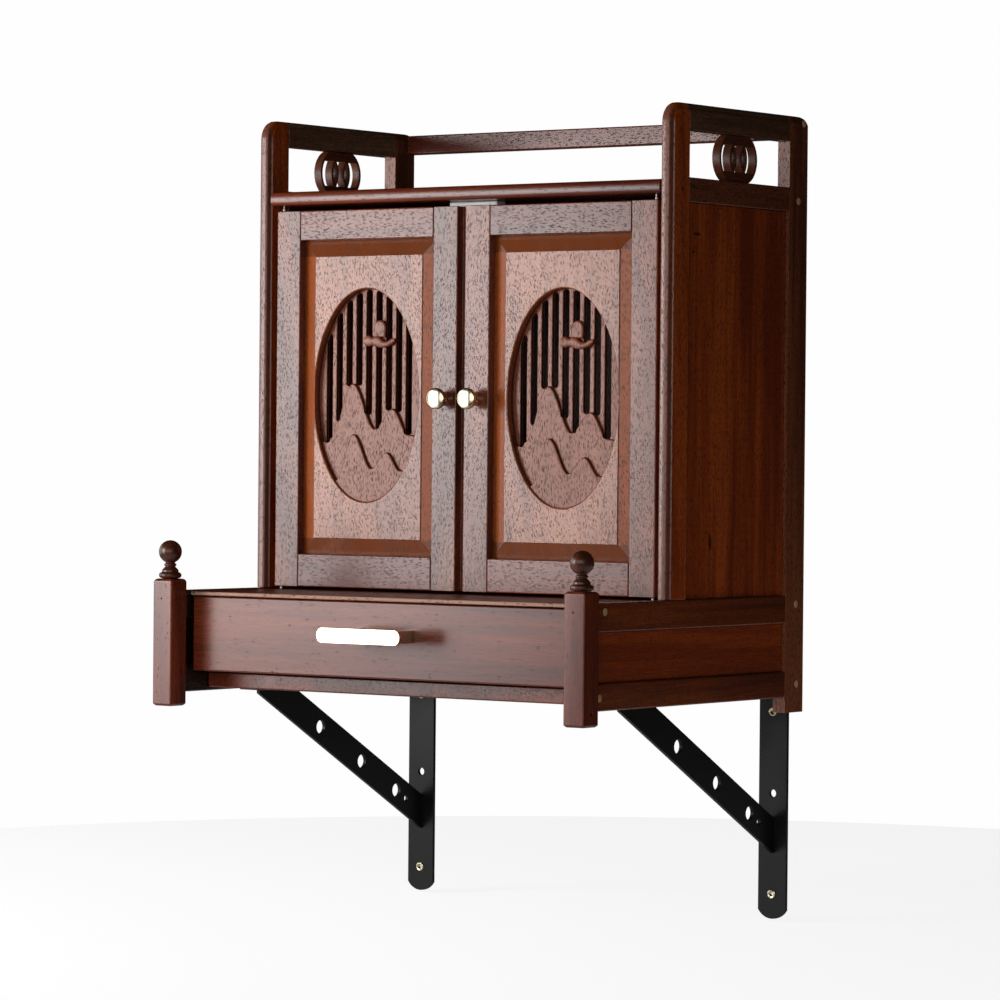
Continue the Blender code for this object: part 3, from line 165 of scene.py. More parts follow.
def add_softbox(name, azimuth, elevation, distance, width, height, radiance, fade):
    a, e = math.radians(azimuth), math.radians(elevation)
    direction = Vector((math.sin(a) * math.cos(e), -math.cos(a) * math.cos(e), math.sin(e)))
    data = bpy.data.lights.new(name, "AREA")
    data.shape = "RECTANGLE"
    data.size = width
    data.size_y = height
    data.energy = radiance * width * height * math.pi
    fade_to_edges(data, fade)
    light = bpy.data.objects.new(name, data)
    light.location = SOFTBOX_AIM + direction * distance
    light.rotation_euler = direction.to_track_quat("Z", "Y").to_euler()
    bpy.context.scene.collection.objects.link(light)


def build_world():
    """A dim even room, with plain white behind."""
    world = bpy.data.worlds.new("studio")
    world.use_nodes = True
    nodes, links = world.node_tree.nodes, world.node_tree.links
    nodes.clear()
    output = nodes.new("ShaderNodeOutputWorld")
    path = nodes.new("ShaderNodeLightPath")
    mix = nodes.new("ShaderNodeMixShader")
    room = nodes.new("ShaderNodeBackground")
    room.inputs["Color"].default_value = (*ROOM_TINT, 1)
    room.inputs["Strength"].default_value = ROOM_GLOW
    backdrop = nodes.new("ShaderNodeBackground")
    backdrop.inputs["Color"].default_value = (1, 1, 1, 1)
    backdrop.inputs["Strength"].default_value = BACKDROP_WHITE
    links.new(path.outputs["Is Camera Ray"], mix.inputs["Fac"])
    links.new(room.outputs["Background"], mix.inputs[1])
    links.new(backdrop.outputs["Background"], mix.inputs[2])
    links.new(mix.outputs["Shader"], output.inputs["Surface"])
    bpy.context.scene.world = world


def build_floor():
    """A round pale floor just below the brackets."""
    bm = bmesh.new()
    bmesh.ops.create_circle(bm, cap_ends=True, segments=FLOOR_STEPS, radius=FLOOR_RADIUS)
    bmesh.ops.translate(bm, verts=bm.verts[:], vec=(0, 0, CAD_BOX[0][2] - FLOOR_DROP))
    mesh = bpy.data.meshes.new("floor")
    bm.to_mesh(mesh)
    bm.free()
    floor = bpy.data.objects.new("floor", mesh)
    bpy.context.scene.collection.objects.link(floor)
    material = bpy.data.materials.new("floor_white")
    material.use_nodes = True
    nodes, links = material.node_tree.nodes, material.node_tree.links
    shader = nodes["Principled BSDF"]
    path = nodes.new("ShaderNodeLightPath")
    glow = nodes.new("ShaderNodeMapRange")
    glow.inputs["To Min"].default_value = FLOOR_GLOW
    glow.inputs["To Max"].default_value = FLOOR_WHITE
    links.new(path.outputs["Is Camera Ray"], glow.inputs["Value"])
    links.new(glow.outputs["Result"], shader.inputs["Emission Strength"])
    shader.inputs["Base Color"].default_value = (*FLOOR_TONE, 1)
    shader.inputs["Roughness"].default_value = FLOOR_ROUGHNESS
    shader.inputs["Specular IOR Level"].default_value = 0.0
    shader.inputs["Emission Color"].default_value = (1, 1, 1, 1)
    mesh.materials.append(material)


def build_studio():
    build_world()
    build_floor()
    for name, values in SOFTBOXES.items():
        add_softbox(name, *values)
    bpy.context.scene.view_settings.view_transform = "Standard"


# Materials

GAP = 0.0003
KNOT_CORE = 0.35


class Graph:
    """Adds shader nodes to a material, one call each."""

    def __init__(self, name):
        self.material = bpy.data.materials.new(name)
        self.material.use_nodes = True
        self.nodes = self.material.node_tree.nodes
        self.links = self.material.node_tree.links
        self.shader = self.nodes["Principled BSDF"]

    def set(self, socket, value):
        if isinstance(value, bpy.types.NodeSocket):
            self.links.new(value, socket)
        elif isinstance(value, tuple) and len(value) == 3 and socket.type == "RGBA":
            socket.default_value = (*value, 1)
        else:
            socket.default_value = value

    def finish(self, **values):
        for name, value in values.items():
            self.set(self.shader.inputs[name.replace("_", " ")], value)
        return self.material

    def math(self, operation, a, b=0.0):
        node = self.nodes.new("ShaderNodeMath")
        node.operation = operation
        self.set(node.inputs[0], a)
        self.set(node.inputs[1], b)
        return node.outputs[0]

    def mix(self, factor, a, b, blend="MIX"):
        node = self.nodes.new("ShaderNodeMix")
        node.data_type = "RGBA"
        node.blend_type = blend
        self.set(node.inputs["Factor"], factor)
        self.set(node.inputs["A"], a)
        self.set(node.inputs["B"], b)
        return node.outputs["Result"]

    def coordinates(self):
        """Places on the object, in metres along its own axes."""
        return self.nodes.new("ShaderNodeTexCoord").outputs["Object"]

    def place(self, shift=(0, 0, 0), turn=(0, 0, 0)):
        """Object coordinates, turned and then shifted."""
        node = self.nodes.new("ShaderNodeMapping")
        self.links.new(self.coordinates(), node.inputs["Vector"])
        node.inputs["Location"].default_value = shift
        node.inputs["Rotation"].default_value = turn
        return node.outputs["Vector"]

    def stretch(self, vector, scale):
        node = self.nodes.new("ShaderNodeMapping")
        self.links.new(vector, node.inputs["Vector"])
        node.inputs["Scale"].default_value = scale
        return node.outputs["Vector"]

    def axes(self):
        """The object's own X, Y and Z."""
        split = self.nodes.new("ShaderNodeSeparateXYZ")
        self.links.new(self.coordinates(), split.inputs["Vector"])
        return split.outputs

    def beyond(self, value, middle, half):
        """1 where a value is more than half away from the middle."""
        reach = self.math("ABSOLUTE", self.math("SUBTRACT", value, middle))
        return self.ramp(reach, half, half + GAP)

    def within(self, value, low, high):
        """1 between two values."""
        return self.math("SUBTRACT", 1.0, self.beyond(value, (low + high) / 2, (high - low) / 2 - GAP))

    def knot(self, place, size):
        """1 at a place, down to 0 at the size's distances along X, Y and Z."""
        node = self.nodes.new("ShaderNodeMapping")
        node.vector_type = "TEXTURE"
        self.links.new(self.coordinates(), node.inputs["Vector"])
        node.inputs["Location"].default_value = place
        node.inputs["Scale"].default_value = size
        length = self.nodes.new("ShaderNodeVectorMath")
        length.operation = "LENGTH"
        self.links.new(node.outputs["Vector"], length.inputs[0])
        return self.ramp(length.outputs["Value"], KNOT_CORE, 1.0, 1.0, 0.0)

    def lean(self, vector, angle):
        """Turns the grain a little off its axis, both across and in depth."""
        node = self.nodes.new("ShaderNodeMapping")
        self.links.new(vector, node.inputs["Vector"])
        node.inputs["Rotation"].default_value = (0, angle, angle)
        return node.outputs["Vector"]

    def wobble(self, vector, scale, amount):
        """Pushes places to and fro by a soft noise, for figured grain."""
        noise = self.nodes.new("ShaderNodeTexNoise")
        self.links.new(self.stretch(vector, scale), noise.inputs["Vector"])
        noise.inputs["Scale"].default_value = 1.0
        noise.inputs["Detail"].default_value = 1.0
        centred = self.nodes.new("ShaderNodeVectorMath")
        centred.operation = "SUBTRACT"
        self.links.new(noise.outputs["Color"], centred.inputs[0])
        centred.inputs[1].default_value = (0.5, 0.5, 0.5)
        scaled = self.nodes.new("ShaderNodeVectorMath")
        scaled.operation = "SCALE"
        self.links.new(centred.outputs[0], scaled.inputs[0])
        scaled.inputs["Scale"].default_value = amount
        moved = self.nodes.new("ShaderNodeVectorMath")
        self.links.new(vector, moved.inputs[0])
        self.links.new(scaled.outputs[0], moved.inputs[1])
        return moved.outputs[0]

    def noise(self, vector, scale, detail=2.0, roughness=0.5, distortion=0.0):
        node = self.nodes.new("ShaderNodeTexNoise")
        self.links.new(vector, node.inputs["Vector"])
        node.inputs["Scale"].default_value = scale
        node.inputs["Detail"].default_value = detail
        node.inputs["Roughness"].default_value = roughness
        node.inputs["Distortion"].default_value = distortion
        return node.outputs["Fac"]

    def layer(self, vector, values):
        """One of the wood's noise layers."""
        scale, *character = values
        return self.noise(self.stretch(vector, scale), 1.0, *character)

    def cells(self, vector):
        """Distance to the nearest random point, and that point's own random value."""
        node = self.nodes.new("ShaderNodeTexVoronoi")
        self.links.new(vector, node.inputs["Vector"])
        node.inputs["Scale"].default_value = 1.0
        split = self.nodes.new("ShaderNodeSeparateColor")
        self.links.new(node.outputs["Color"], split.inputs["Color"])
        return node.outputs["Distance"], split.outputs["Red"]

    def ramp(self, value, low, high, start=0.0, end=1.0):
        """A value from start to end as the input goes from low to high."""
        node = self.nodes.new("ShaderNodeMapRange")
        node.interpolation_type = "SMOOTHSTEP"
        self.set(node.inputs["Value"], value)
        node.inputs["From Min"].default_value = low
        node.inputs["From Max"].default_value = high
        node.inputs["To Min"].default_value = start
        node.inputs["To Max"].default_value = end
        return node.outputs["Result"]

    def bump(self, height, distance, strength):
        node = self.nodes.new("ShaderNodeBump")
        self.links.new(height, node.inputs["Height"])
        node.inputs["Distance"].default_value = distance
        node.inputs["Strength"].default_value = strength
        return node.outputs["Normal"]


# Grain axis as the turn that brings it onto X
GRAIN_TURNS = {"X": (0, 0, 0), "Y": (0, 0, math.radians(-90)), "Z": (0, math.radians(90), 0)}
GRAIN_SHIFT = 3
# Noise layers as (features per metre along the grain and across it, detail, roughness, distortion)
DRIFT = ((1.6, 9, 9), 2.0, 0.5, 0.0)
BROAD = ((2.2, 42, 42), 3.0, 0.55, 0.6)
BANDS = ((5, 170, 170), 3.0, 0.6, 0.3)
FIBRE = ((40, 1500, 1500), 2.0, 0.6, 0.0)
CROWDING = ((14, 60, 60), 2.0, 0.5, 0.0)
# Features per metre of the figured grain and of the two kinds of pores
FIGURE = (14, 32, 32)
PORES = ((135, 580, 580), (200, 860, 860))
# Parts of a noise's values that a ramp spreads
NARROW = (0.35, 0.65)
MIDDLE = (0.3, 0.7)
WIDE = (0.2, 0.8)
# Shares of the layers in the tone, and how far it swings from the middle
DRIFT_SHARE = 0.35
BROAD_SHARE = 0.40
BANDS_SHARE = 0.25
TONE_SWING = 0.13
FIBRE_SHADES = (0.80, 1.14)
FIBRE_RISE = 0.25
FIBRE_GLOSS = (-0.02, 0.03)
# How many pores are open, from the sparse places to the crowded, and how many more in the picture
CROWDS = (0.55, 1.0)
PICTURE_CROWD = 0.5
PORE_SIZE = 0.40
PORE_CORE = 0.45
PORE_SHADE = 0.80
PORE_TONE = 0.2
PORE_DULLNESS = 0.24
GRAIN_DEPTH = 0.000026
GRAIN_STRENGTH = 0.6
BLACK = (0.0, 0.0, 0.0)

# A raised panel's finish: a tone on its bevels cut along and across the grain, painted shade with the
# darker end grain on those across the grain, the picture's tone, painted shade on its cut walls and painted
# black shade in its slots
BEVEL_TONE = (0.400, 0.085, 0.012)
BEVEL_SHARE = 0.75
END_GRAIN_AND_PAINTED_SHADE = 0.44
BEVEL_POLISH = 0.12
RANGE_TONE = (0.230, 0.045, 0.015)
RANGE_SHARE = 0.6
RANGE_DULLNESS = 0.11
CUT_SHADE = 0.75
CUT_START = 0.0004
CUT_FOOT = 0.037                 # below the panel's centre
SLOT_SHADE = 0.93
# Front edges painted with light or shade, as (reach from the front, tone, share): painted sheen on the
# front posts' moulded edge, a painted highlight on the deck's lip and near-black painted shadow on the side
# members' front ends
PAINTED_NOSE_SHEEN = (0.007, (0.190, 0.080, 0.056), 0.8)
PAINTED_LIP_HIGHLIGHT = (0.0012, (0.560, 0.330, 0.250), 0.9)
PAINTED_END_SHADOW = (0.0015, (0.010, 0.003, 0.002), 0.95)
# Near-black painted shadow on the side members' inner faces
PAINTED_SHADOW_TONE = (0.010, 0.003, 0.002)
KNOT_TONE = (0.012, 0.003, 0.001)
KNOT_SHARE = 0.85
# Knots as (place, size)
KNOTS = {
    "front_post_right": (((0.250, -0.2244, 0.3891), (0.004, 0.0026, 0.0036)),),
    "side_panel_right": (
        ((0.246, -0.1924, 0.3480), (0.004, 0.0080, 0.0024)),
        ((0.246, -0.1987, 0.3311), (0.004, 0.0035, 0.0022)),
        ((0.246, -0.1650, 0.0540), (0.004, 0.0038, 0.0110)),
    ),
}


def carved_regions(graph, axes, panel):
    """A carved panel's masks: bevels, those across the grain, the picture, its cut walls and the slots."""
    centre, half_width, half_height = panel
    depth = axes["Y"]
    front = graph.ramp(depth, PANEL_BACK - 3 * GAP, PANEL_BACK - 2 * GAP, 1.0, 0.0)
    along = graph.math("MULTIPLY", front, graph.beyond(axes["X"], centre[0], half_width))
    across = graph.math("MULTIPLY", front, graph.beyond(axes["Z"], centre[1], half_height))
    bevel = graph.math("MAXIMUM", along, across)
    level = graph.math("SUBTRACT", 1.0, bevel)
    sunk = FIELD + FRONT_RANGE_SINK - GAP
    picture = graph.math("MULTIPLY", front, graph.ramp(depth, sunk, sunk + GAP))
    picture = graph.math("MULTIPLY", picture, level)
    foot = centre[1] - CUT_FOOT
    low = graph.ramp(axes["Z"], foot, foot + GAP, 1.0, 0.0)
    near = graph.within(depth, FIELD + FRONT_RANGE_SINK + CUT_START, FIELD + BACK_RANGE_SINK - GAP)
    far = graph.within(depth, FIELD + BACK_RANGE_SINK + CUT_START, FIELD + RECESS_DEPTH - GAP)
    cut = graph.math("MAXIMUM", graph.math("MULTIPLY", near, low), far)
    cut = graph.math("MULTIPLY", cut, level)
    floor = FIELD + RECESS_DEPTH
    deep = graph.ramp(depth, floor + GAP, floor + SLOT_ROUND, 0.0, SLOT_SHADE)
    return bevel, across, picture, cut, graph.math("MULTIPLY", front, deep)


def grain_tone(graph, grain, tones, streak):
    """Slow drifts, broad stripes and fine bands between a wood's dark and light tones."""
    dark, middle, light = tones
    drift = graph.math("MULTIPLY", graph.layer(grain, DRIFT), DRIFT_SHARE)
    broad = graph.math("MULTIPLY", graph.layer(grain, BROAD), BROAD_SHARE)
    bands = graph.math("MULTIPLY", graph.layer(grain, BANDS), BANDS_SHARE)
    tone = graph.math("ADD", graph.math("ADD", drift, broad), bands)
    share = graph.ramp(tone, 0.5 - TONE_SWING, 0.5 + TONE_SWING, 0.5 - 0.5 * streak, 0.5 + 0.5 * streak)
    lower = graph.ramp(share, 0.0, 0.5)
    upper = graph.ramp(share, 0.5, 1.0)
    return graph.mix(upper, graph.mix(lower, dark, middle), light)


def open_pores(graph, grain, flecks, picture):
    """1 in short open pores, which crowd together in places."""
    crowd = graph.ramp(graph.layer(grain, CROWDING), *NARROW, *CROWDS)
    crowd = graph.math("ADD", crowd, graph.math("MULTIPLY", picture, PICTURE_CROWD))
    crowd = graph.math("MULTIPLY", crowd, flecks)
    layers = []
    for scale in PORES:
        distance, chance = graph.cells(graph.stretch(grain, scale))
        pore = graph.ramp(distance, PORE_SIZE * PORE_CORE, PORE_SIZE, 1.0, 0.0)
        layers.append(graph.math("MULTIPLY", pore, graph.math("LESS_THAN", chance, crowd)))
    return graph.math("MAXIMUM", *layers)


def wood(name, tones, axis, seed, streak=1.0, slant=0.0, waver=0.0, flecks=1.0, gloss=0.26,
         shine=0.5, panel=None, nose=None, painted_inside_shadow=None, knots=()):
    """Lacquered hardwood: broad tones, fine fibre and short open pores along the grain.

    A carved panel gives its raised field as (centre, half width, half height); its cross-grain bevels, cut
    walls and slots get painted shade.
    A front edge painted with a sheen, highlight or shadow comes as (depth, tone, share). Within the given
    distance of the middle, a member gets a near-black painted shadow on its inner faces.
    """
    graph = Graph(name)
    rng = random.Random(seed)
    shift = tuple(rng.uniform(-GRAIN_SHIFT, GRAIN_SHIFT) for _ in range(3))
    straight = graph.place(shift, GRAIN_TURNS[axis])
    grain = graph.lean(straight, slant)
    axes = graph.axes()
    picture = 0.0
    if panel:
        bevel, across, picture, cut, deep = carved_regions(graph, axes, panel)
        grain = graph.mix(picture, grain, straight)
    if waver:
        grain = graph.wobble(grain, FIGURE, waver)
    colour = grain_tone(graph, grain, tones, streak)
    fibre = graph.layer(grain, FIBRE)
    colour = graph.mix(1.0, colour, graph.ramp(fibre, *MIDDLE, *FIBRE_SHADES), "MULTIPLY")
    pit = open_pores(graph, grain, flecks, picture)
    if nose:
        depth, tone, share = nose
        # Painted light or shade on the front edge: sheen, highlight or shadow, by piece
        colour = graph.mix(graph.ramp(axes["Y"], depth, depth + GAP, share, 0.0), colour, tone)
    if painted_inside_shadow:
        inside = graph.math("SUBTRACT", 1.0, graph.beyond(axes["X"], 0.0, painted_inside_shadow))
        # Near-black painted shadow on the member's inner faces
        colour = graph.mix(inside, colour, PAINTED_SHADOW_TONE)
    if panel:
        colour = graph.mix(graph.math("MULTIPLY", bevel, BEVEL_SHARE), colour, BEVEL_TONE)
        # Painted shade, with the darker end grain, on the bevels across the grain
        colour = graph.mix(graph.math("MULTIPLY", across, END_GRAIN_AND_PAINTED_SHADE), colour, BLACK)
        colour = graph.mix(graph.math("MULTIPLY", picture, RANGE_SHARE), colour, RANGE_TONE)
        # Painted shade on the picture's cut walls
        colour = graph.mix(graph.math("MULTIPLY", cut, CUT_SHADE), colour, BLACK)
    for place, size in knots:
        colour = graph.mix(graph.math("MULTIPLY", graph.knot(place, size), KNOT_SHARE), colour, KNOT_TONE)
    pore_tone = tuple(part * PORE_TONE for part in tones[0])
    colour = graph.mix(graph.math("MULTIPLY", pit, PORE_SHADE), colour, pore_tone)
    height = graph.math("SUBTRACT", graph.math("MULTIPLY", fibre, FIBRE_RISE), pit)
    normal = graph.bump(height, GRAIN_DEPTH, GRAIN_STRENGTH)
    rough = graph.ramp(fibre, *WIDE, gloss + FIBRE_GLOSS[0], gloss + FIBRE_GLOSS[1])
    rough = graph.math("ADD", rough, graph.math("MULTIPLY", pit, PORE_DULLNESS))
    if panel:
        rough = graph.math("SUBTRACT", rough, graph.math("MULTIPLY", bevel, BEVEL_POLISH))
        rough = graph.math("ADD", rough, graph.math("MULTIPLY", picture, RANGE_DULLNESS))
        # Painted black shade inside the slots
        colour = graph.mix(deep, colour, BLACK)
        rough = graph.math("MAXIMUM", rough, deep)
    return graph.finish(Base_Color=colour, Roughness=rough, Normal=normal, Specular_IOR_Level=shine)


# Steel, brass and plastic
STEEL_TONES = ((0.0045, 0.0045, 0.0042), (0.0095, 0.0092, 0.0085))
STEEL_ROUGHNESS = (0.36, 0.46)
STEEL_SHINE = 0.2
STEEL_PEEL = 0.00004
BRASS_TONE = (0.92, 0.80, 0.56)
BRASS_DULLED = 0.82
BRASS_PATCHES = (0.35, 0.75)
BRASS_WEAR = (0.3, 0.8)
BRASS_ROUGHNESS = (0.07, 0.15)
BRASS_TURNING = (2600, 300, 2600)
BRASS_MARK_DULLNESS = 0.05
BRASS_MARK_DEPTH = 0.00001
PLASTIC_TONES = ((0.80, 0.80, 0.77), (0.88, 0.88, 0.86))
PLASTIC_ROUGHNESS = (0.38, 0.5)
PLASTIC_GRAIN = 0.00002


def painted_steel():
    """Black powder coat with a fine orange-peel surface."""
    graph = Graph("black_powder_coat")
    place = graph.place()
    peel = graph.noise(place, scale=900, detail=2.0)
    drift = graph.noise(place, scale=25, detail=3.0)
    colour = graph.mix(drift, *STEEL_TONES)
    rough = graph.ramp(drift, *MIDDLE, *STEEL_ROUGHNESS)
    normal = graph.bump(peel, STEEL_PEEL, strength=0.6)
    return graph.finish(Base_Color=colour, Roughness=rough, Normal=normal, Specular_IOR_Level=STEEL_SHINE)


def polished_brass():
    """Pale bright brass with faint turning marks and dulled patches."""
    graph = Graph("polished_brass")
    place = graph.place()
    marks = graph.noise(graph.stretch(place, BRASS_TURNING), scale=1.0, detail=2.0)
    patches = graph.noise(place, scale=60, detail=4.0)
    dulled = tuple(part * BRASS_DULLED for part in BRASS_TONE)
    colour = graph.mix(graph.ramp(patches, *BRASS_PATCHES), BRASS_TONE, dulled)
    rough = graph.ramp(patches, *BRASS_WEAR, *BRASS_ROUGHNESS)
    rough = graph.math("ADD", rough, graph.math("MULTIPLY", marks, BRASS_MARK_DULLNESS))
    normal = graph.bump(marks, BRASS_MARK_DEPTH, strength=0.5)
    return graph.finish(Base_Color=colour, Roughness=rough, Metallic=1.0, Normal=normal)


def moulded_plastic():
    """White plastic with a faint grain."""
    graph = Graph("moulded_white_plastic")
    place = graph.place()
    grain = graph.noise(place, scale=700, detail=2.0)
    tint = graph.noise(place, scale=30, detail=2.0)
    colour = graph.mix(tint, *PLASTIC_TONES)
    rough = graph.ramp(grain, *WIDE, *PLASTIC_ROUGHNESS)
    normal = graph.bump(grain, PLASTIC_GRAIN, strength=0.5)
    return graph.finish(Base_Color=colour, Roughness=rough, Normal=normal)


# Pieces


def to_piece(name, bm, body, material, replaced=(), sharp=None):
    """Links a finished mesh as a piece of one body. Turns above a sharp angle stay crisp."""
    mesh = bpy.data.meshes.new(name)
    bm.to_mesh(mesh)
    bm.free()
    mesh.shade_smooth()
    if sharp:
        mesh.set_sharp_from_angle(angle=sharp)
    piece = bpy.data.objects.new(name, mesh)
    bpy.context.scene.collection.objects.link(piece)
    mesh.materials.append(material)
    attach(piece, body)
    if replaced:
        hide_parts(*replaced)
    return piece


def soften(piece, width):
    """Rounds a piece's edges and keeps its flat faces evenly shaded."""
    bevel = piece.modifiers.new("soft_edges", "BEVEL")
    bevel.width = width
    bevel.segments = EDGE_STEPS
    bevel.limit_method = "ANGLE"
    bevel.angle_limit = EDGE_ANGLE
    bevel.use_clamp_overlap = True
    bevel.miter_outer = "MITER_ARC"
    piece.modifiers.new("even_faces", "WEIGHTED_NORMAL")


def node_mesh(node):
    """The node's mesh with its split corners welded and its flat faces whole again."""
    bm = bmesh.new()
    bm.from_mesh(NODES[node].data)
    bmesh.ops.remove_doubles(bm, verts=bm.verts[:], dist=WELD_DISTANCE)
    bmesh.ops.dissolve_limit(bm, angle_limit=FLAT_ANGLE, verts=bm.verts[:], edges=bm.edges[:])
    return bm


def dress(node, material, width=EDGE_WIDTH, form=None):
    """A piece with the node's own form, or a worked one, and softened edges."""
    form = form or node_mesh(node)
    piece = to_piece(f"{node}_finish", form, BODY_OF[node], material, (node,))
    soften(piece, width)


# Moulded edges, holes, plugs, knobs and pins

HALF_WIDTH = 0.25
FRAME_THICKNESS = 0.014
FRAME_FRONT = -0.245
FRONT_CORNER_RADIUS = 0.020
NOSE_DEPTH = 0.007
NOSE_HALF = 0.0053
NOSE_LENGTH = 0.00615
NOSE_POWER = 4.0
BOARD_POWER = 3.0
NOSE_PLAIN = -0.06               # the moulded edge keeps its own shape behind this
NOSE_LIMIT = 0.999
TURNED_STEPS = 48
HOLE_STEPS = 20
HOLE_DEPTH = 0.004
SCREW_HOLE_RADIUS = 0.0019
SCREW_HOLE_Z = -0.101
NAIL_HOLE_RADIUS = 0.0006
NAIL_HOLE_Z = -0.008
NAIL_HOLE_OFFSET = -0.001
DRAWER_HOLE = (-0.133, -0.077)
PLUG_RADIUS = 0.0036
PLUG_DEPTH = 0.0004
PLUG_PROUD = 0.00015
PLUG_CROWN = 0.8
PLUG_PLACES = (
    (-0.0082, 0.4649),
    (-0.0172, 0.3880),
    (-0.0153, -0.0084),
    (-0.0130, -0.0871),
    (-0.3472, -0.0083),
    (-0.3550, -0.0879),
)
# Knob as (radius, distance from the door), up to the rim of its domed head
KNOB_PROFILE = (
    (0.0070, 0.0003),
    (0.0070, 0.0056),
    (0.0066, 0.0062),
    (0.0053, 0.0078),
    (0.0053, 0.0090),
    (0.0085, 0.0110),
    (0.0100, 0.0116),
    (0.0104, 0.0126),
    (0.0104, 0.0158),
    (0.0101, 0.0163),
)
KNOB_DOME = 0.0013
KNOB_SHARP = math.radians(50)
DOME_STEPS = 12
PIN_RADIUS = 0.0014
PIN_STEM = 0.0006
PIN_REACH = 0.0015
PIN_BALL = 65                    # degrees that the ball bulges to either side

# Carved door panels, finer than the solids and from the same numbers

DOOR_FACE = -0.237
DOOR_BACK = -0.219
DOOR_CENTRE_X = 0.1175
PANEL_CENTRE_Z = 0.192
OPENING_HALF_WIDTH = 0.083
OPENING_HALF_HEIGHT = 0.157
TONGUE_REACH = 0.0048
TONGUE_FRONT = 0.0088            # behind the door's face
TONGUE_BACK = 0.0132
PANEL_BACK = DOOR_BACK - 0.001
PANEL_BACK_MARGIN = 0.004
BEVEL_WIDTH = 0.016
FIELD = DOOR_FACE + 0.0045
FIELD_STEP = 0.001
FIELD_ARRIS = 0.0005
OVAL_HALF_WIDTH = 0.066
OVAL_HALF_HEIGHT = 0.107
OVAL_OFFSETS = {"left": (-0.0022, 0.0020), "right": (0.0016, -0.0010)}
PICTURE_SHIFT = -0.0025
RECESS_DEPTH = 0.0085
RECESS_DRAFT = 0.0015
SLOT_PITCH = 0.0124
SLOT_WIDTH = 0.0072
SLOT_TOP_MARGIN = 0.0003
SLOT_CORNER = 0.0031
SLOT_FEET = (-0.0474, -0.0258, 0.0095, 0.0103, -0.0189, -0.0335, -0.0146, -0.0162, -0.0389)
BACK_RANGE_SINK = 0.0052
FRONT_RANGE_SINK = 0.0020
BACK_RANGE = (
    (-0.0580, -0.0480),
    (-0.0460, -0.0430),
    (-0.0182, 0.0112),
    (0.0095, -0.0336),
    (0.0315, -0.0140),
    (0.0520, -0.0395),
    (0.0660, -0.0410),
)
FRONT_RANGE = (
    (-0.0360, -0.0850),
    (-0.0150, -0.0392),
    (0.0080, -0.0730),
    (0.0266, -0.0572),
    (0.0440, -0.0750),
)
SUN_SINK = 0.0046
SUN_RADIUS = 0.0073
SUN_CENTRE = (0.0155, 0.0675)
SUN_FOOT = 0.0099
SUN_FOOT_HALF_WIDTH = 0.0067
SUN_STEPS = 24
CLOUD_SINK = 0.0032
CLOUD_LINE = (
    (-0.0042, 0.0540, 0.0016),
    (-0.0020, 0.0541, 0.0044),
    (0.0022, 0.0543, 0.0053),
    (0.0066, 0.0537, 0.0037),
    (0.0108, 0.0540, 0.0050),
    (0.0155, 0.0526, 0.0051),
    (0.0205, 0.0508, 0.0032),
    (0.0260, 0.0512, 0.0027),
    (0.0305, 0.0534, 0.0031),
    (0.0350, 0.0548, 0.0014),
)
# Roundings as (outward, inward, depth): the recess rim, the mountains and the sun
RIM_ROUND = (0.0008, 0.0007, 0.0012)
RIDGE_ROUND = (0.0007, 0.0012, 0.0015)
SUN_ROUND = (0.0, 0.0022, 0.0016)
SLOT_ROUND = 0.0009
CLOUD_CROWN = 0.0015
ROUND_STEPS = 8
OVAL_STEPS = 112
RIDGE_STEPS = 16
CLOUD_STEPS = 40
PANEL_SHARP = math.radians(14)
MITRE_LIMIT = 0.5


def loft(rings):
    """A closed body through rings of equal length, capped at both ends."""
    bm = bmesh.new()
    loops = [[bm.verts.new(point) for point in ring] for ring in rings]
    count = len(loops[0])
    for lower, upper in zip(loops, loops[1:]):
        for i in range(count):
            j = (i + 1) % count
            bm.faces.new((lower[i], lower[j], upper[j], upper[i]))
    bm.faces.new(loops[0])
    bm.faces.new(loops[-1])
    bmesh.ops.recalc_face_normals(bm, faces=bm.faces[:])
    return bm


def arc(centre, radius, start, end, steps):
    points = []
    for i in range(steps + 1):
        angle = math.radians(start + (end - start) * i / steps)
        points.append((centre[0] + radius * math.cos(angle), centre[1] + radius * math.sin(angle)))
    return points


def inset(outline, distance):
    """The outline moved inward by a distance, or outward by a negative one."""
    count = len(outline)
    area = 0
    for (x0, z0), (x1, z1) in zip((outline[-1], *outline), outline):
        area += x0 * z1 - x1 * z0
    turn = 1 if area > 0 else -1
    moved = []
    for i, (x, z) in enumerate(outline):
        before = Vector(outline[i - 1])
        here = Vector((x, z))
        after = Vector(outline[(i + 1) % count])
        first = (here - before).normalized()
        second = (after - here).normalized()
        across = Vector((-first.y - second.y, first.x + second.x)) * turn
        across.normalize()
        spread = max(across.dot(Vector((-first.y, first.x)) * turn), MITRE_LIMIT)
        moved.append((x + across.x * distance / spread, z + across.y * distance / spread))
    return moved


def at_depth(outline, middle, y):
    return [(middle[0] + x, y, middle[1] + z) for x, z in outline]


def shouldered(outline, middle, face, rounding):
    """An upright figure from the panel's back to a level face with a round shoulder."""
    outward, inward, depth = rounding
    rings = [at_depth(inset(outline, -outward), middle, PANEL_BACK - GAP)]
    for i in range(ROUND_STEPS + 1):
        turn = math.radians(90) * i / ROUND_STEPS
        edge = inset(outline, (outward + inward) * (1 - math.cos(turn)) - outward)
        rings.append(at_depth(edge, middle, face + depth * (1 - math.sin(turn))))
    return loft(rings)


def oval_outline(inward):
    half_width, half_height = OVAL_HALF_WIDTH - inward, OVAL_HALF_HEIGHT - inward
    return [(x * half_width, z * half_height) for x, z in arc((0, 0), 1, 0, 360, OVAL_STEPS)[:-1]]


def oval_height(x, inward):
    """Half height of the oval at a place across the picture."""
    share = min(abs(x + PICTURE_SHIFT) / (OVAL_HALF_WIDTH - inward), 1)
    return (OVAL_HALF_HEIGHT - inward) * math.sqrt(1 - share ** 2)


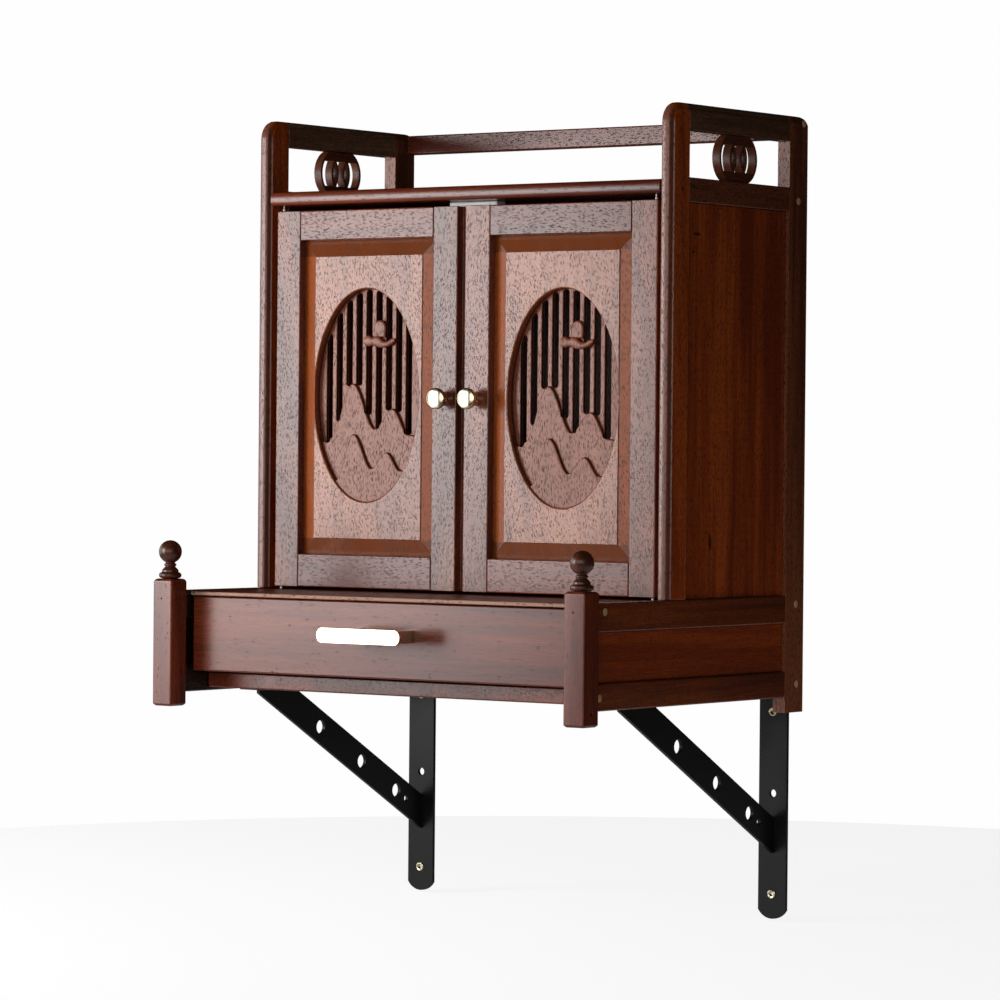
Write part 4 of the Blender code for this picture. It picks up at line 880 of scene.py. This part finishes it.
def raised_board(centre_x):
    """Mitred bevel that runs on under the frame, small step and raised field."""
    slope = (TONGUE_FRONT + DOOR_FACE - FIELD - FIELD_STEP) / (BEVEL_WIDTH - GAP)
    offsets = (
        (-PANEL_BACK_MARGIN, PANEL_BACK),
        (-PANEL_BACK_MARGIN, DOOR_FACE + TONGUE_BACK),
        (TONGUE_REACH, DOOR_FACE + TONGUE_BACK),
        (TONGUE_REACH, DOOR_FACE + TONGUE_FRONT + slope * (TONGUE_REACH + GAP)),
        (-BEVEL_WIDTH, FIELD + FIELD_STEP),
        (-BEVEL_WIDTH, FIELD + FIELD_ARRIS),
        (-BEVEL_WIDTH - FIELD_ARRIS, FIELD),
    )
    rings = []
    for offset, y in offsets:
        x, z = OPENING_HALF_WIDTH + offset, OPENING_HALF_HEIGHT + offset
        rings.append(at_depth(((-x, -z), (x, -z), (x, z), (-x, z)), (centre_x, PANEL_CENTRE_Z), y))
    return loft(rings)


def recess(middle):
    """What is cut out of the board for the picture: an oval with a round rim."""
    outward, inward, depth = RIM_ROUND
    rings = [at_depth(oval_outline(-outward), middle, FIELD - depth)]
    for i in range(ROUND_STEPS + 1):
        turn = math.radians(90) * i / ROUND_STEPS
        offset = (outward + inward) * math.sin(turn) - outward
        rings.append(at_depth(oval_outline(offset), middle, FIELD + depth * (1 - math.cos(turn))))
    rings.append(at_depth(oval_outline(RECESS_DRAFT), middle, FIELD + RECESS_DEPTH))
    return loft(rings)


def slot_outline(x, foot):
    half, corner = SLOT_WIDTH / 2, SLOT_CORNER
    points = arc((x - half + corner, foot + corner), corner, 180, 270, ROUND_STEPS)
    points += arc((x + half - corner, foot + corner), corner, 270, 360, ROUND_STEPS)
    head = oval_height(x, RECESS_DRAFT + SLOT_TOP_MARGIN)
    top = arc((x + half - corner, head - corner), corner, 0, 90, ROUND_STEPS)
    top += arc((x - half + corner, head - corner), corner, 90, 180, ROUND_STEPS)
    return points + [(px, min(pz, oval_height(px, RECESS_DRAFT + GAP))) for px, pz in top]


def slots(middle, flare):
    """The upright slots, which open out at the recess floor by the flare."""
    floor = FIELD + RECESS_DEPTH
    whole = bmesh.new()
    for i, foot in enumerate(SLOT_FEET):
        outline = slot_outline((i - (len(SLOT_FEET) - 1) / 2) * SLOT_PITCH, foot)
        rings = [at_depth(inset(outline, -flare), middle, floor - GAP if flare else FIELD)]
        if flare:
            for step in range(ROUND_STEPS + 1):
                turn = math.radians(90) * step / ROUND_STEPS
                edge = inset(outline, -flare * (1 - math.sin(turn)))
                rings.append(at_depth(edge, middle, floor + flare * (1 - math.cos(turn))))
        rings.append(at_depth(outline, middle, DOOR_BACK + GAP))
        add_to(whole, loft(rings))
    return whole


def range_height(turns, x):
    """Height of a mountain range, easing from each turning point to the next."""
    if x <= turns[0][0]:
        return turns[0][1]
    for (x0, z0), (x1, z1) in zip(turns, turns[1:]):
        if x <= x1:
            share = (x - x0) / (x1 - x0)
            return z0 + (z1 - z0) * (1 - math.cos(math.pi * share)) / 2
    return turns[-1][1]


def range_outline(turns):
    """A mountain range down to the foot of the oval, whose shoulder dips where it meets the wall."""
    across = []
    for (x0, _), (x1, _) in zip(turns, turns[1:]):
        shares = [(1 - math.cos(math.pi * i / RIDGE_STEPS)) / 2 for i in range(RIDGE_STEPS)]
        across += [x0 + (x1 - x0) * share for share in shares]
    across.append(turns[-1][0])
    rim = RIM_ROUND[1]
    half_width, half_height = OVAL_HALF_WIDTH - rim, OVAL_HALF_HEIGHT - rim
    ridge = []
    for x in across:
        z = range_height(turns, x)
        if abs(x + PICTURE_SHIFT) < half_width * math.sqrt(1 - (z / half_height) ** 2) - rim:
            ridge.append((x, z))
    start = math.degrees(math.asin(ridge[-1][1] / half_height))
    end = -180 - math.degrees(math.asin(ridge[0][1] / half_height))
    foot = arc((0, 0), 1, start, end, OVAL_STEPS // 2)
    return ridge + [(x * half_width - PICTURE_SHIFT, z * half_height) for x, z in foot]


def sun_outline():
    """A round-headed sun that rises from behind the cloud."""
    x, z = SUN_CENTRE
    foot = [(x - SUN_FOOT_HALF_WIDTH, z - SUN_FOOT), (x + SUN_FOOT_HALF_WIDTH, z - SUN_FOOT)]
    return foot + arc((x, z), SUN_RADIUS, 0, 180, SUN_STEPS)


def ease_along(stations, share):
    """A smooth value through evenly numbered stations (Catmull-Rom)."""
    position = share * (len(stations) - 1)
    i = min(int(position), len(stations) - 2)
    t = position - i
    before, after = max(i - 1, 0), min(i + 2, len(stations) - 1)
    values = []
    for p0, p1, p2, p3 in zip(stations[before], stations[i], stations[i + 1], stations[after]):
        slope_in, slope_out = (p2 - p0) / 2, (p3 - p1) / 2
        change = p2 - p1
        curve = (3 * change - 2 * slope_in - slope_out) * t ** 2
        values.append(p1 + slope_in * t + curve + (slope_in + slope_out - 2 * change) * t ** 3)
    return values


def cloud(middle):
    """A drifting cloud with a crowned face: a thick lobe that waves out into a thin tail."""
    face = FIELD + CLOUD_SINK
    rings = []
    for i in range(CLOUD_STEPS + 1):
        x, z, half = ease_along(CLOUD_LINE, i / CLOUD_STEPS)
        ring = [(middle[0] + x, PANEL_BACK - GAP, middle[1] + z - half)]
        for across, rise in arc((0, 0), 1, 180, 0, 2 * ROUND_STEPS):
            ring.append((middle[0] + x, face + CLOUD_CROWN * (1 - rise), middle[1] + z + half * across))
        ring.append((middle[0] + x, PANEL_BACK - GAP, middle[1] + z + half))
        rings.append(ring)
    return loft(rings)


def add_to(whole, part):
    """Joins a form to another as it is."""
    mesh = bpy.data.meshes.new("form")
    part.to_mesh(mesh)
    part.free()
    whole.from_mesh(mesh)
    bpy.data.meshes.remove(mesh)


def carve(body, cutters):
    """The body less each cutter."""
    forms = []
    for bm in (body, *cutters):
        mesh = bpy.data.meshes.new("form")
        bm.to_mesh(mesh)
        bm.free()
        form = bpy.data.objects.new("form", mesh)
        bpy.context.scene.collection.objects.link(form)
        forms.append(form)
    for cutter in forms[1:]:
        cut = forms[0].modifiers.new("cut", "BOOLEAN")
        cut.operation = "DIFFERENCE"
        cut.solver = "EXACT"
        cut.object = cutter
    graph = bpy.context.evaluated_depsgraph_get()
    result = bmesh.new()
    result.from_mesh(forms[0].evaluated_get(graph).data)
    for form in forms:
        mesh = form.data
        bpy.data.objects.remove(form)
        bpy.data.meshes.remove(mesh)
    bmesh.ops.remove_doubles(result, verts=result.verts[:], dist=WELD_DISTANCE)
    return result


def build_panel(name, side, material):
    """A raised panel with the pierced picture sunk in an oval."""
    offset = OVAL_OFFSETS[name]
    oval = (side * DOOR_CENTRE_X + offset[0], PANEL_CENTRE_Z + offset[1])
    picture = (oval[0] + PICTURE_SHIFT, oval[1])
    panel = carve(raised_board(side * DOOR_CENTRE_X), [recess(oval), slots(picture, SLOT_ROUND)])
    far = shouldered(range_outline(BACK_RANGE), picture, FIELD + BACK_RANGE_SINK, RIDGE_ROUND)
    add_to(panel, carve(far, [slots(picture, 0)]))
    add_to(panel, shouldered(range_outline(FRONT_RANGE), picture, FIELD + FRONT_RANGE_SINK, RIDGE_ROUND))
    add_to(panel, shouldered(sun_outline(), picture, FIELD + SUN_SINK, SUN_ROUND))
    add_to(panel, cloud(picture))
    node = f"door_panel_{name}"
    piece = to_piece(f"{node}_finish", panel, BODY_OF[node], material, (node,), PANEL_SHARP)
    even = piece.modifiers.new("even_faces", "WEIGHTED_NORMAL")
    even.keep_sharp = True


# Woods

# Tones as linear colours: dark, middle and light
FRAME_TONES = ((0.085, 0.011, 0.003), (0.150, 0.022, 0.006), (0.220, 0.040, 0.013))
PANEL_TONES = ((0.240, 0.062, 0.022), (0.350, 0.100, 0.040), (0.450, 0.150, 0.066))
SIDE_TONES = ((0.225, 0.028, 0.002), (0.350, 0.051, 0.004), (0.495, 0.087, 0.009))
OLIVE_TONES = ((0.105, 0.042, 0.018), (0.170, 0.075, 0.034), (0.240, 0.115, 0.056))
REAR_TONES = ((0.110, 0.024, 0.006), (0.200, 0.046, 0.012), (0.290, 0.078, 0.022))
STILE_TONES = ((0.120, 0.024, 0.009), (0.200, 0.044, 0.017), (0.290, 0.075, 0.032))
RAIL_TONES = ((0.100, 0.016, 0.002), (0.175, 0.029, 0.004), (0.260, 0.052, 0.008))
# The rings share the side wood's finish but are darker: painted shade inside the gallery opening
RING_TONES = ((0.065, 0.014, 0.004), (0.115, 0.027, 0.009), (0.170, 0.045, 0.015))
FINIAL_TONES = ((0.052, 0.012, 0.005), (0.090, 0.021, 0.008), (0.135, 0.034, 0.013))
DARK_TONES = ((0.085, 0.018, 0.005), (0.145, 0.033, 0.010), (0.210, 0.054, 0.018))
PLUG_TONES = ((0.60, 0.34, 0.14), (0.72, 0.44, 0.20), (0.84, 0.56, 0.28))
INNER_TONES = ((0.020, 0.007, 0.003), (0.036, 0.013, 0.006), (0.055, 0.022, 0.010))

PANEL_SLANT = 0.16
PANEL_SEED = 200
PLUG_SEED = 400
# Kinds of wood that repeat, as what sets them apart
# Side members with painted shadow on their front ends and inner faces
PAINTED_SHADOW = {"nose": PAINTED_END_SHADOW, "painted_inside_shadow": True}
INNER = {"gloss": 0.6}

# Slot, tones, grain axis and the wood's character, with any painted sheen, highlight or shadow
PAIRED = {
    # The front posts' moulded edge carries a painted sheen
    "front_post": ("side_wood", SIDE_TONES, "Z", {"slant": 0.05, "nose": PAINTED_NOSE_SHEEN}),
    "rear_post": ("side_wood", REAR_TONES, "Z", {"streak": 1.2, "gloss": 0.34}),
    "gallery_rail": ("side_wood", OLIVE_TONES, "Y", {}),
    "mid_rail": ("side_wood", DARK_TONES, "Y", {"waver": 0.004}),
    "side_panel": ("side_wood", SIDE_TONES, "Z", {"streak": 1.2, "flecks": 0.8}),
    "ring_ornament": ("side_wood", RING_TONES, "Y", {"gloss": 0.42, "flecks": 0.4, "shine": 0.35}),
    "deck_rail": ("side_wood", RAIL_TONES, "Y", PAINTED_SHADOW),
    "box_side_panel": ("side_wood", SIDE_TONES, "Y", {"streak": 0.8, "flecks": 0.7, **PAINTED_SHADOW}),
    "bottom_rail": ("side_wood", RAIL_TONES, "Y", {"streak": 1.2, **PAINTED_SHADOW}),
    "corner_post": ("frame_wood", FRAME_TONES, "Z", {"slant": 0.06, "flecks": 0.12}),
    "finial": ("frame_wood", FINIAL_TONES, "Z", {"flecks": 0.3}),
    "hinge_stile": ("frame_wood", STILE_TONES, "Z", {"slant": 0.14}),
    "lock_stile": ("frame_wood", STILE_TONES, "Z", {"slant": -0.12}),
    "door_top_rail": ("frame_wood", FRAME_TONES, "X", {"waver": 0.006}),
    "door_bottom_rail": ("frame_wood", FRAME_TONES, "X", {"waver": 0.008}),
    "drawer_side": ("inner_wood", INNER_TONES, "Y", INNER),
}
SINGLE = {
    "top_board": ("frame_wood", FRAME_TONES, "X", {"flecks": 0.3}),
    "back_gallery_rail": ("frame_wood", FRAME_TONES, "X", {}),
    # The deck's lip carries a painted highlight
    "deck": ("frame_wood", DARK_TONES, "X", {"gloss": 0.42, "flecks": 0.4, "shine": 0.15, "nose": PAINTED_LIP_HIGHLIGHT}),
    "bottom_front_rail": ("frame_wood", FRAME_TONES, "X", {"slant": 0.5}),
    "drawer_front": ("frame_wood", FRAME_TONES, "X", {"streak": 1.1, "flecks": 0.1}),
    "back_panel": ("inner_wood", INNER_TONES, "Z", INNER),
    "bottom_board": ("inner_wood", INNER_TONES, "X", INNER),
    "drawer_back": ("inner_wood", INNER_TONES, "X", INNER),
    "drawer_bottom": ("inner_wood", INNER_TONES, "Y", INNER),
}


def turned(profile, centre, axis, steps=TURNED_STEPS):
    """A turned form from (radius, distance along the axis) points, first to last."""
    rings = []
    for radius, distance in profile:
        ring = []
        for i in range(steps):
            angle = math.tau * i / steps
            ring.append(Vector((radius * math.cos(angle), radius * math.sin(angle), distance)))
        rings.append(ring)
    turn = Vector((0, 0, 1)).rotation_difference(Vector(axis)).to_matrix()
    return loft([[Vector(centre) + turn @ point for point in ring] for ring in rings])


def drilled(node, holes):
    """The node's mesh with small round holes: each a place on the surface and the way in."""
    drills = bmesh.new()
    for place, way, radius, depth in holes:
        add_to(drills, turned([(radius, -depth), (radius, depth)], place, way, HOLE_STEPS))
    return carve(node_mesh(node), [drills])


def flatten_nose(bm, side):
    """Makes a frame member's moulded edge broader at the front, and flush with the rear post behind."""
    middle = side * (HALF_WIDTH - FRAME_THICKNESS / 2)
    top = CAD_BOX[1][2]
    corner = Vector((FRAME_FRONT + FRONT_CORNER_RADIUS, top - FRONT_CORNER_RADIUS))
    for vertex in bm.verts:
        across = abs(vertex.co.x - middle) / NOSE_HALF
        place = Vector((vertex.co.y, vertex.co.z))
        if place.x < corner.x and place.y > corner.y:
            inward = (corner - place).normalized()
            depth = FRONT_CORNER_RADIUS - (corner - place).length
        elif place.x - FRAME_FRONT < top - place.y:
            inward, depth = Vector((1, 0)), place.x - FRAME_FRONT
        else:
            inward, depth = Vector((0, -1)), top - place.y
        if across > NOSE_LIMIT or depth > NOSE_DEPTH - GAP / 10:
            continue
        share = min(max((place.x - NOSE_PLAIN) / (FRAME_FRONT - NOSE_PLAIN), 0), 1)
        power = 2 + (NOSE_POWER - 2) * share
        crest = NOSE_DEPTH + (NOSE_LENGTH - NOSE_DEPTH) * share
        reach = crest * (1 - across ** power) ** (1 / power)
        place += inward * (NOSE_DEPTH - reach - depth)
        vertex.co.y, vertex.co.z = place


def flatten_board_nose(bm):
    """Makes the top board's round front edge broader."""
    low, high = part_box("top_board")
    half, middle = (high[2] - low[2]) / 2, (high[2] + low[2]) / 2
    for vertex in bm.verts:
        rise = min(abs(vertex.co.z - middle) / half, 1)
        if vertex.co.y < low[1] + half - GAP / 10:
            vertex.co.y = low[1] + half * (1 - (1 - rise ** BOARD_POWER) ** (1 / BOARD_POWER))


def build_panels():
    for seed, (name, side) in enumerate(SIDES):
        centre = (side * DOOR_CENTRE_X, PANEL_CENTRE_Z)
        raised = (centre, OPENING_HALF_WIDTH - BEVEL_WIDTH, OPENING_HALF_HEIGHT - BEVEL_WIDTH)
        character = {"slant": PANEL_SLANT, "panel": raised}
        finish = wood(f"door_panel_{name}_wood", PANEL_TONES, "Z", PANEL_SEED + seed, **character)
        build_panel(name, side, finish)


def post_holes(node, side):
    """A screw hole near the foot of a corner post's outer side and a nail hole in its front."""
    low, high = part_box(node)
    middle = ((low[0] + high[0]) / 2, (low[1] + high[1]) / 2)
    outer = high[0] if side > 0 else low[0]
    return (
        ((outer, middle[1], SCREW_HOLE_Z), (-side, 0, 0), SCREW_HOLE_RADIUS, HOLE_DEPTH),
        ((middle[0] + NAIL_HOLE_OFFSET, low[1], NAIL_HOLE_Z), (0, 1, 0), NAIL_HOLE_RADIUS, HOLE_DEPTH),
    )


def build_wood():
    pieces = dict(SINGLE)
    for form, values in PAIRED.items():
        for side_name, _ in SIDES:
            pieces[f"{form}_{side_name}"] = values
    for seed, (node, (slot, tones, axis, character)) in enumerate(pieces.items()):
        form = node_mesh(node)
        side = -1 if node.endswith("left") else 1
        if node.startswith(("front_post", "gallery_rail")):
            flatten_nose(form, side)
        if node == "top_board":
            flatten_board_nose(form)
        if node.startswith("corner_post"):
            form = drilled(node, post_holes(node, side))
        if node == "drawer_front":
            place = (DRAWER_HOLE[0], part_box(node)[0][1], DRAWER_HOLE[1])
            form = drilled(node, [(place, (0, 1, 0), NAIL_HOLE_RADIUS, HOLE_DEPTH)])
        character = dict(character, knots=KNOTS.get(node, ()))
        low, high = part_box(node)
        if "nose" in character:
            reach, tone, share = character["nose"]
            character["nose"] = (low[1] + reach, tone, share)
        if "painted_inside_shadow" in character:
            character["painted_inside_shadow"] = min(abs(low[0]), abs(high[0])) + GAP
        dress(node, wood(f"{node}_wood", tones, axis, seed, **character), form=form)


def build_plugs():
    """Round wooden plugs over the screws in the side frames."""
    finish = wood("plug_wood", PLUG_TONES, "X", PLUG_SEED, flecks=0.3)
    for name, side in SIDES:
        plugs = bmesh.new()
        for y, z in PLUG_PLACES:
            profile = [(PLUG_RADIUS, -PLUG_DEPTH), (PLUG_RADIUS, 0), (PLUG_RADIUS * PLUG_CROWN, PLUG_PROUD)]
            add_to(plugs, turned(profile, (side * HALF_WIDTH, y, z), (side, 0, 0)))
        body = BODY_OF[f"rear_post_{name}"]
        to_piece(f"plugs_{name}", plugs, body, finish, (), PANEL_SHARP)


def build_knob(name, material):
    """A turned knob: stout base, slim neck and a broad head with a low dome."""
    node = f"knob_{name}"
    low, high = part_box(node)
    centre = ((low[0] + high[0]) / 2, DOOR_FACE, (low[2] + high[2]) / 2)
    profile = list(KNOB_PROFILE)
    rim, start = KNOB_PROFILE[-1]
    for i in range(1, DOME_STEPS):
        share = i / DOME_STEPS
        profile.append((rim * (1 - share), start + KNOB_DOME * (1 - (1 - share) ** 2)))
    knob = turned(profile, centre, (0, -1, 0))
    to_piece(f"{node}_finish", knob, BODY_OF[node], material, (node,), KNOB_SHARP)


def build_pin(node, stile, material):
    """The small white pin with a ball that shows between a door's corner and the board."""
    low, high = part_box(node)
    door_low, door_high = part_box(stile)
    way, corner = (1, door_high[2]) if "top" in node else (-1, door_low[2])
    centre = ((low[0] + high[0]) / 2, (low[1] + high[1]) / 2, corner)
    reach = sorted(way * (end[2] - corner) for end in (low, high))
    ball = arc((0, PIN_REACH), PIN_RADIUS, -PIN_BALL, PIN_BALL, DOME_STEPS)
    profile = [(PIN_STEM, reach[0]), *ball, (PIN_STEM, reach[1])]
    pin = turned(profile, centre, (0, 0, way), HOLE_STEPS)
    to_piece(f"{node}_finish", pin, BODY_OF[node], material, (node,), PANEL_SHARP)


def build_metal():
    coat = painted_steel()
    brass = polished_brass()
    plastic = moulded_plastic()
    for side_name, _ in SIDES:
        dress(f"bracket_strap_{side_name}", coat, METAL_EDGE)
        dress(f"bracket_strut_{side_name}", coat, METAL_EDGE)
        build_knob(side_name, brass)
        for level in ("upper", "lower"):
            dress(f"eyelet_{level}_{side_name}", brass, EYELET_EDGE)
        for level in ("top", "bottom"):
            build_pin(f"pivot_pin_{level}_{side_name}", f"hinge_stile_{side_name}", plastic)
    dress("drawer_pull", brass, METAL_EDGE)
    dress("magnetic_catch", plastic, METAL_EDGE)


build_studio()
place_camera()
build_wood()
build_panels()
build_plugs()
build_metal()
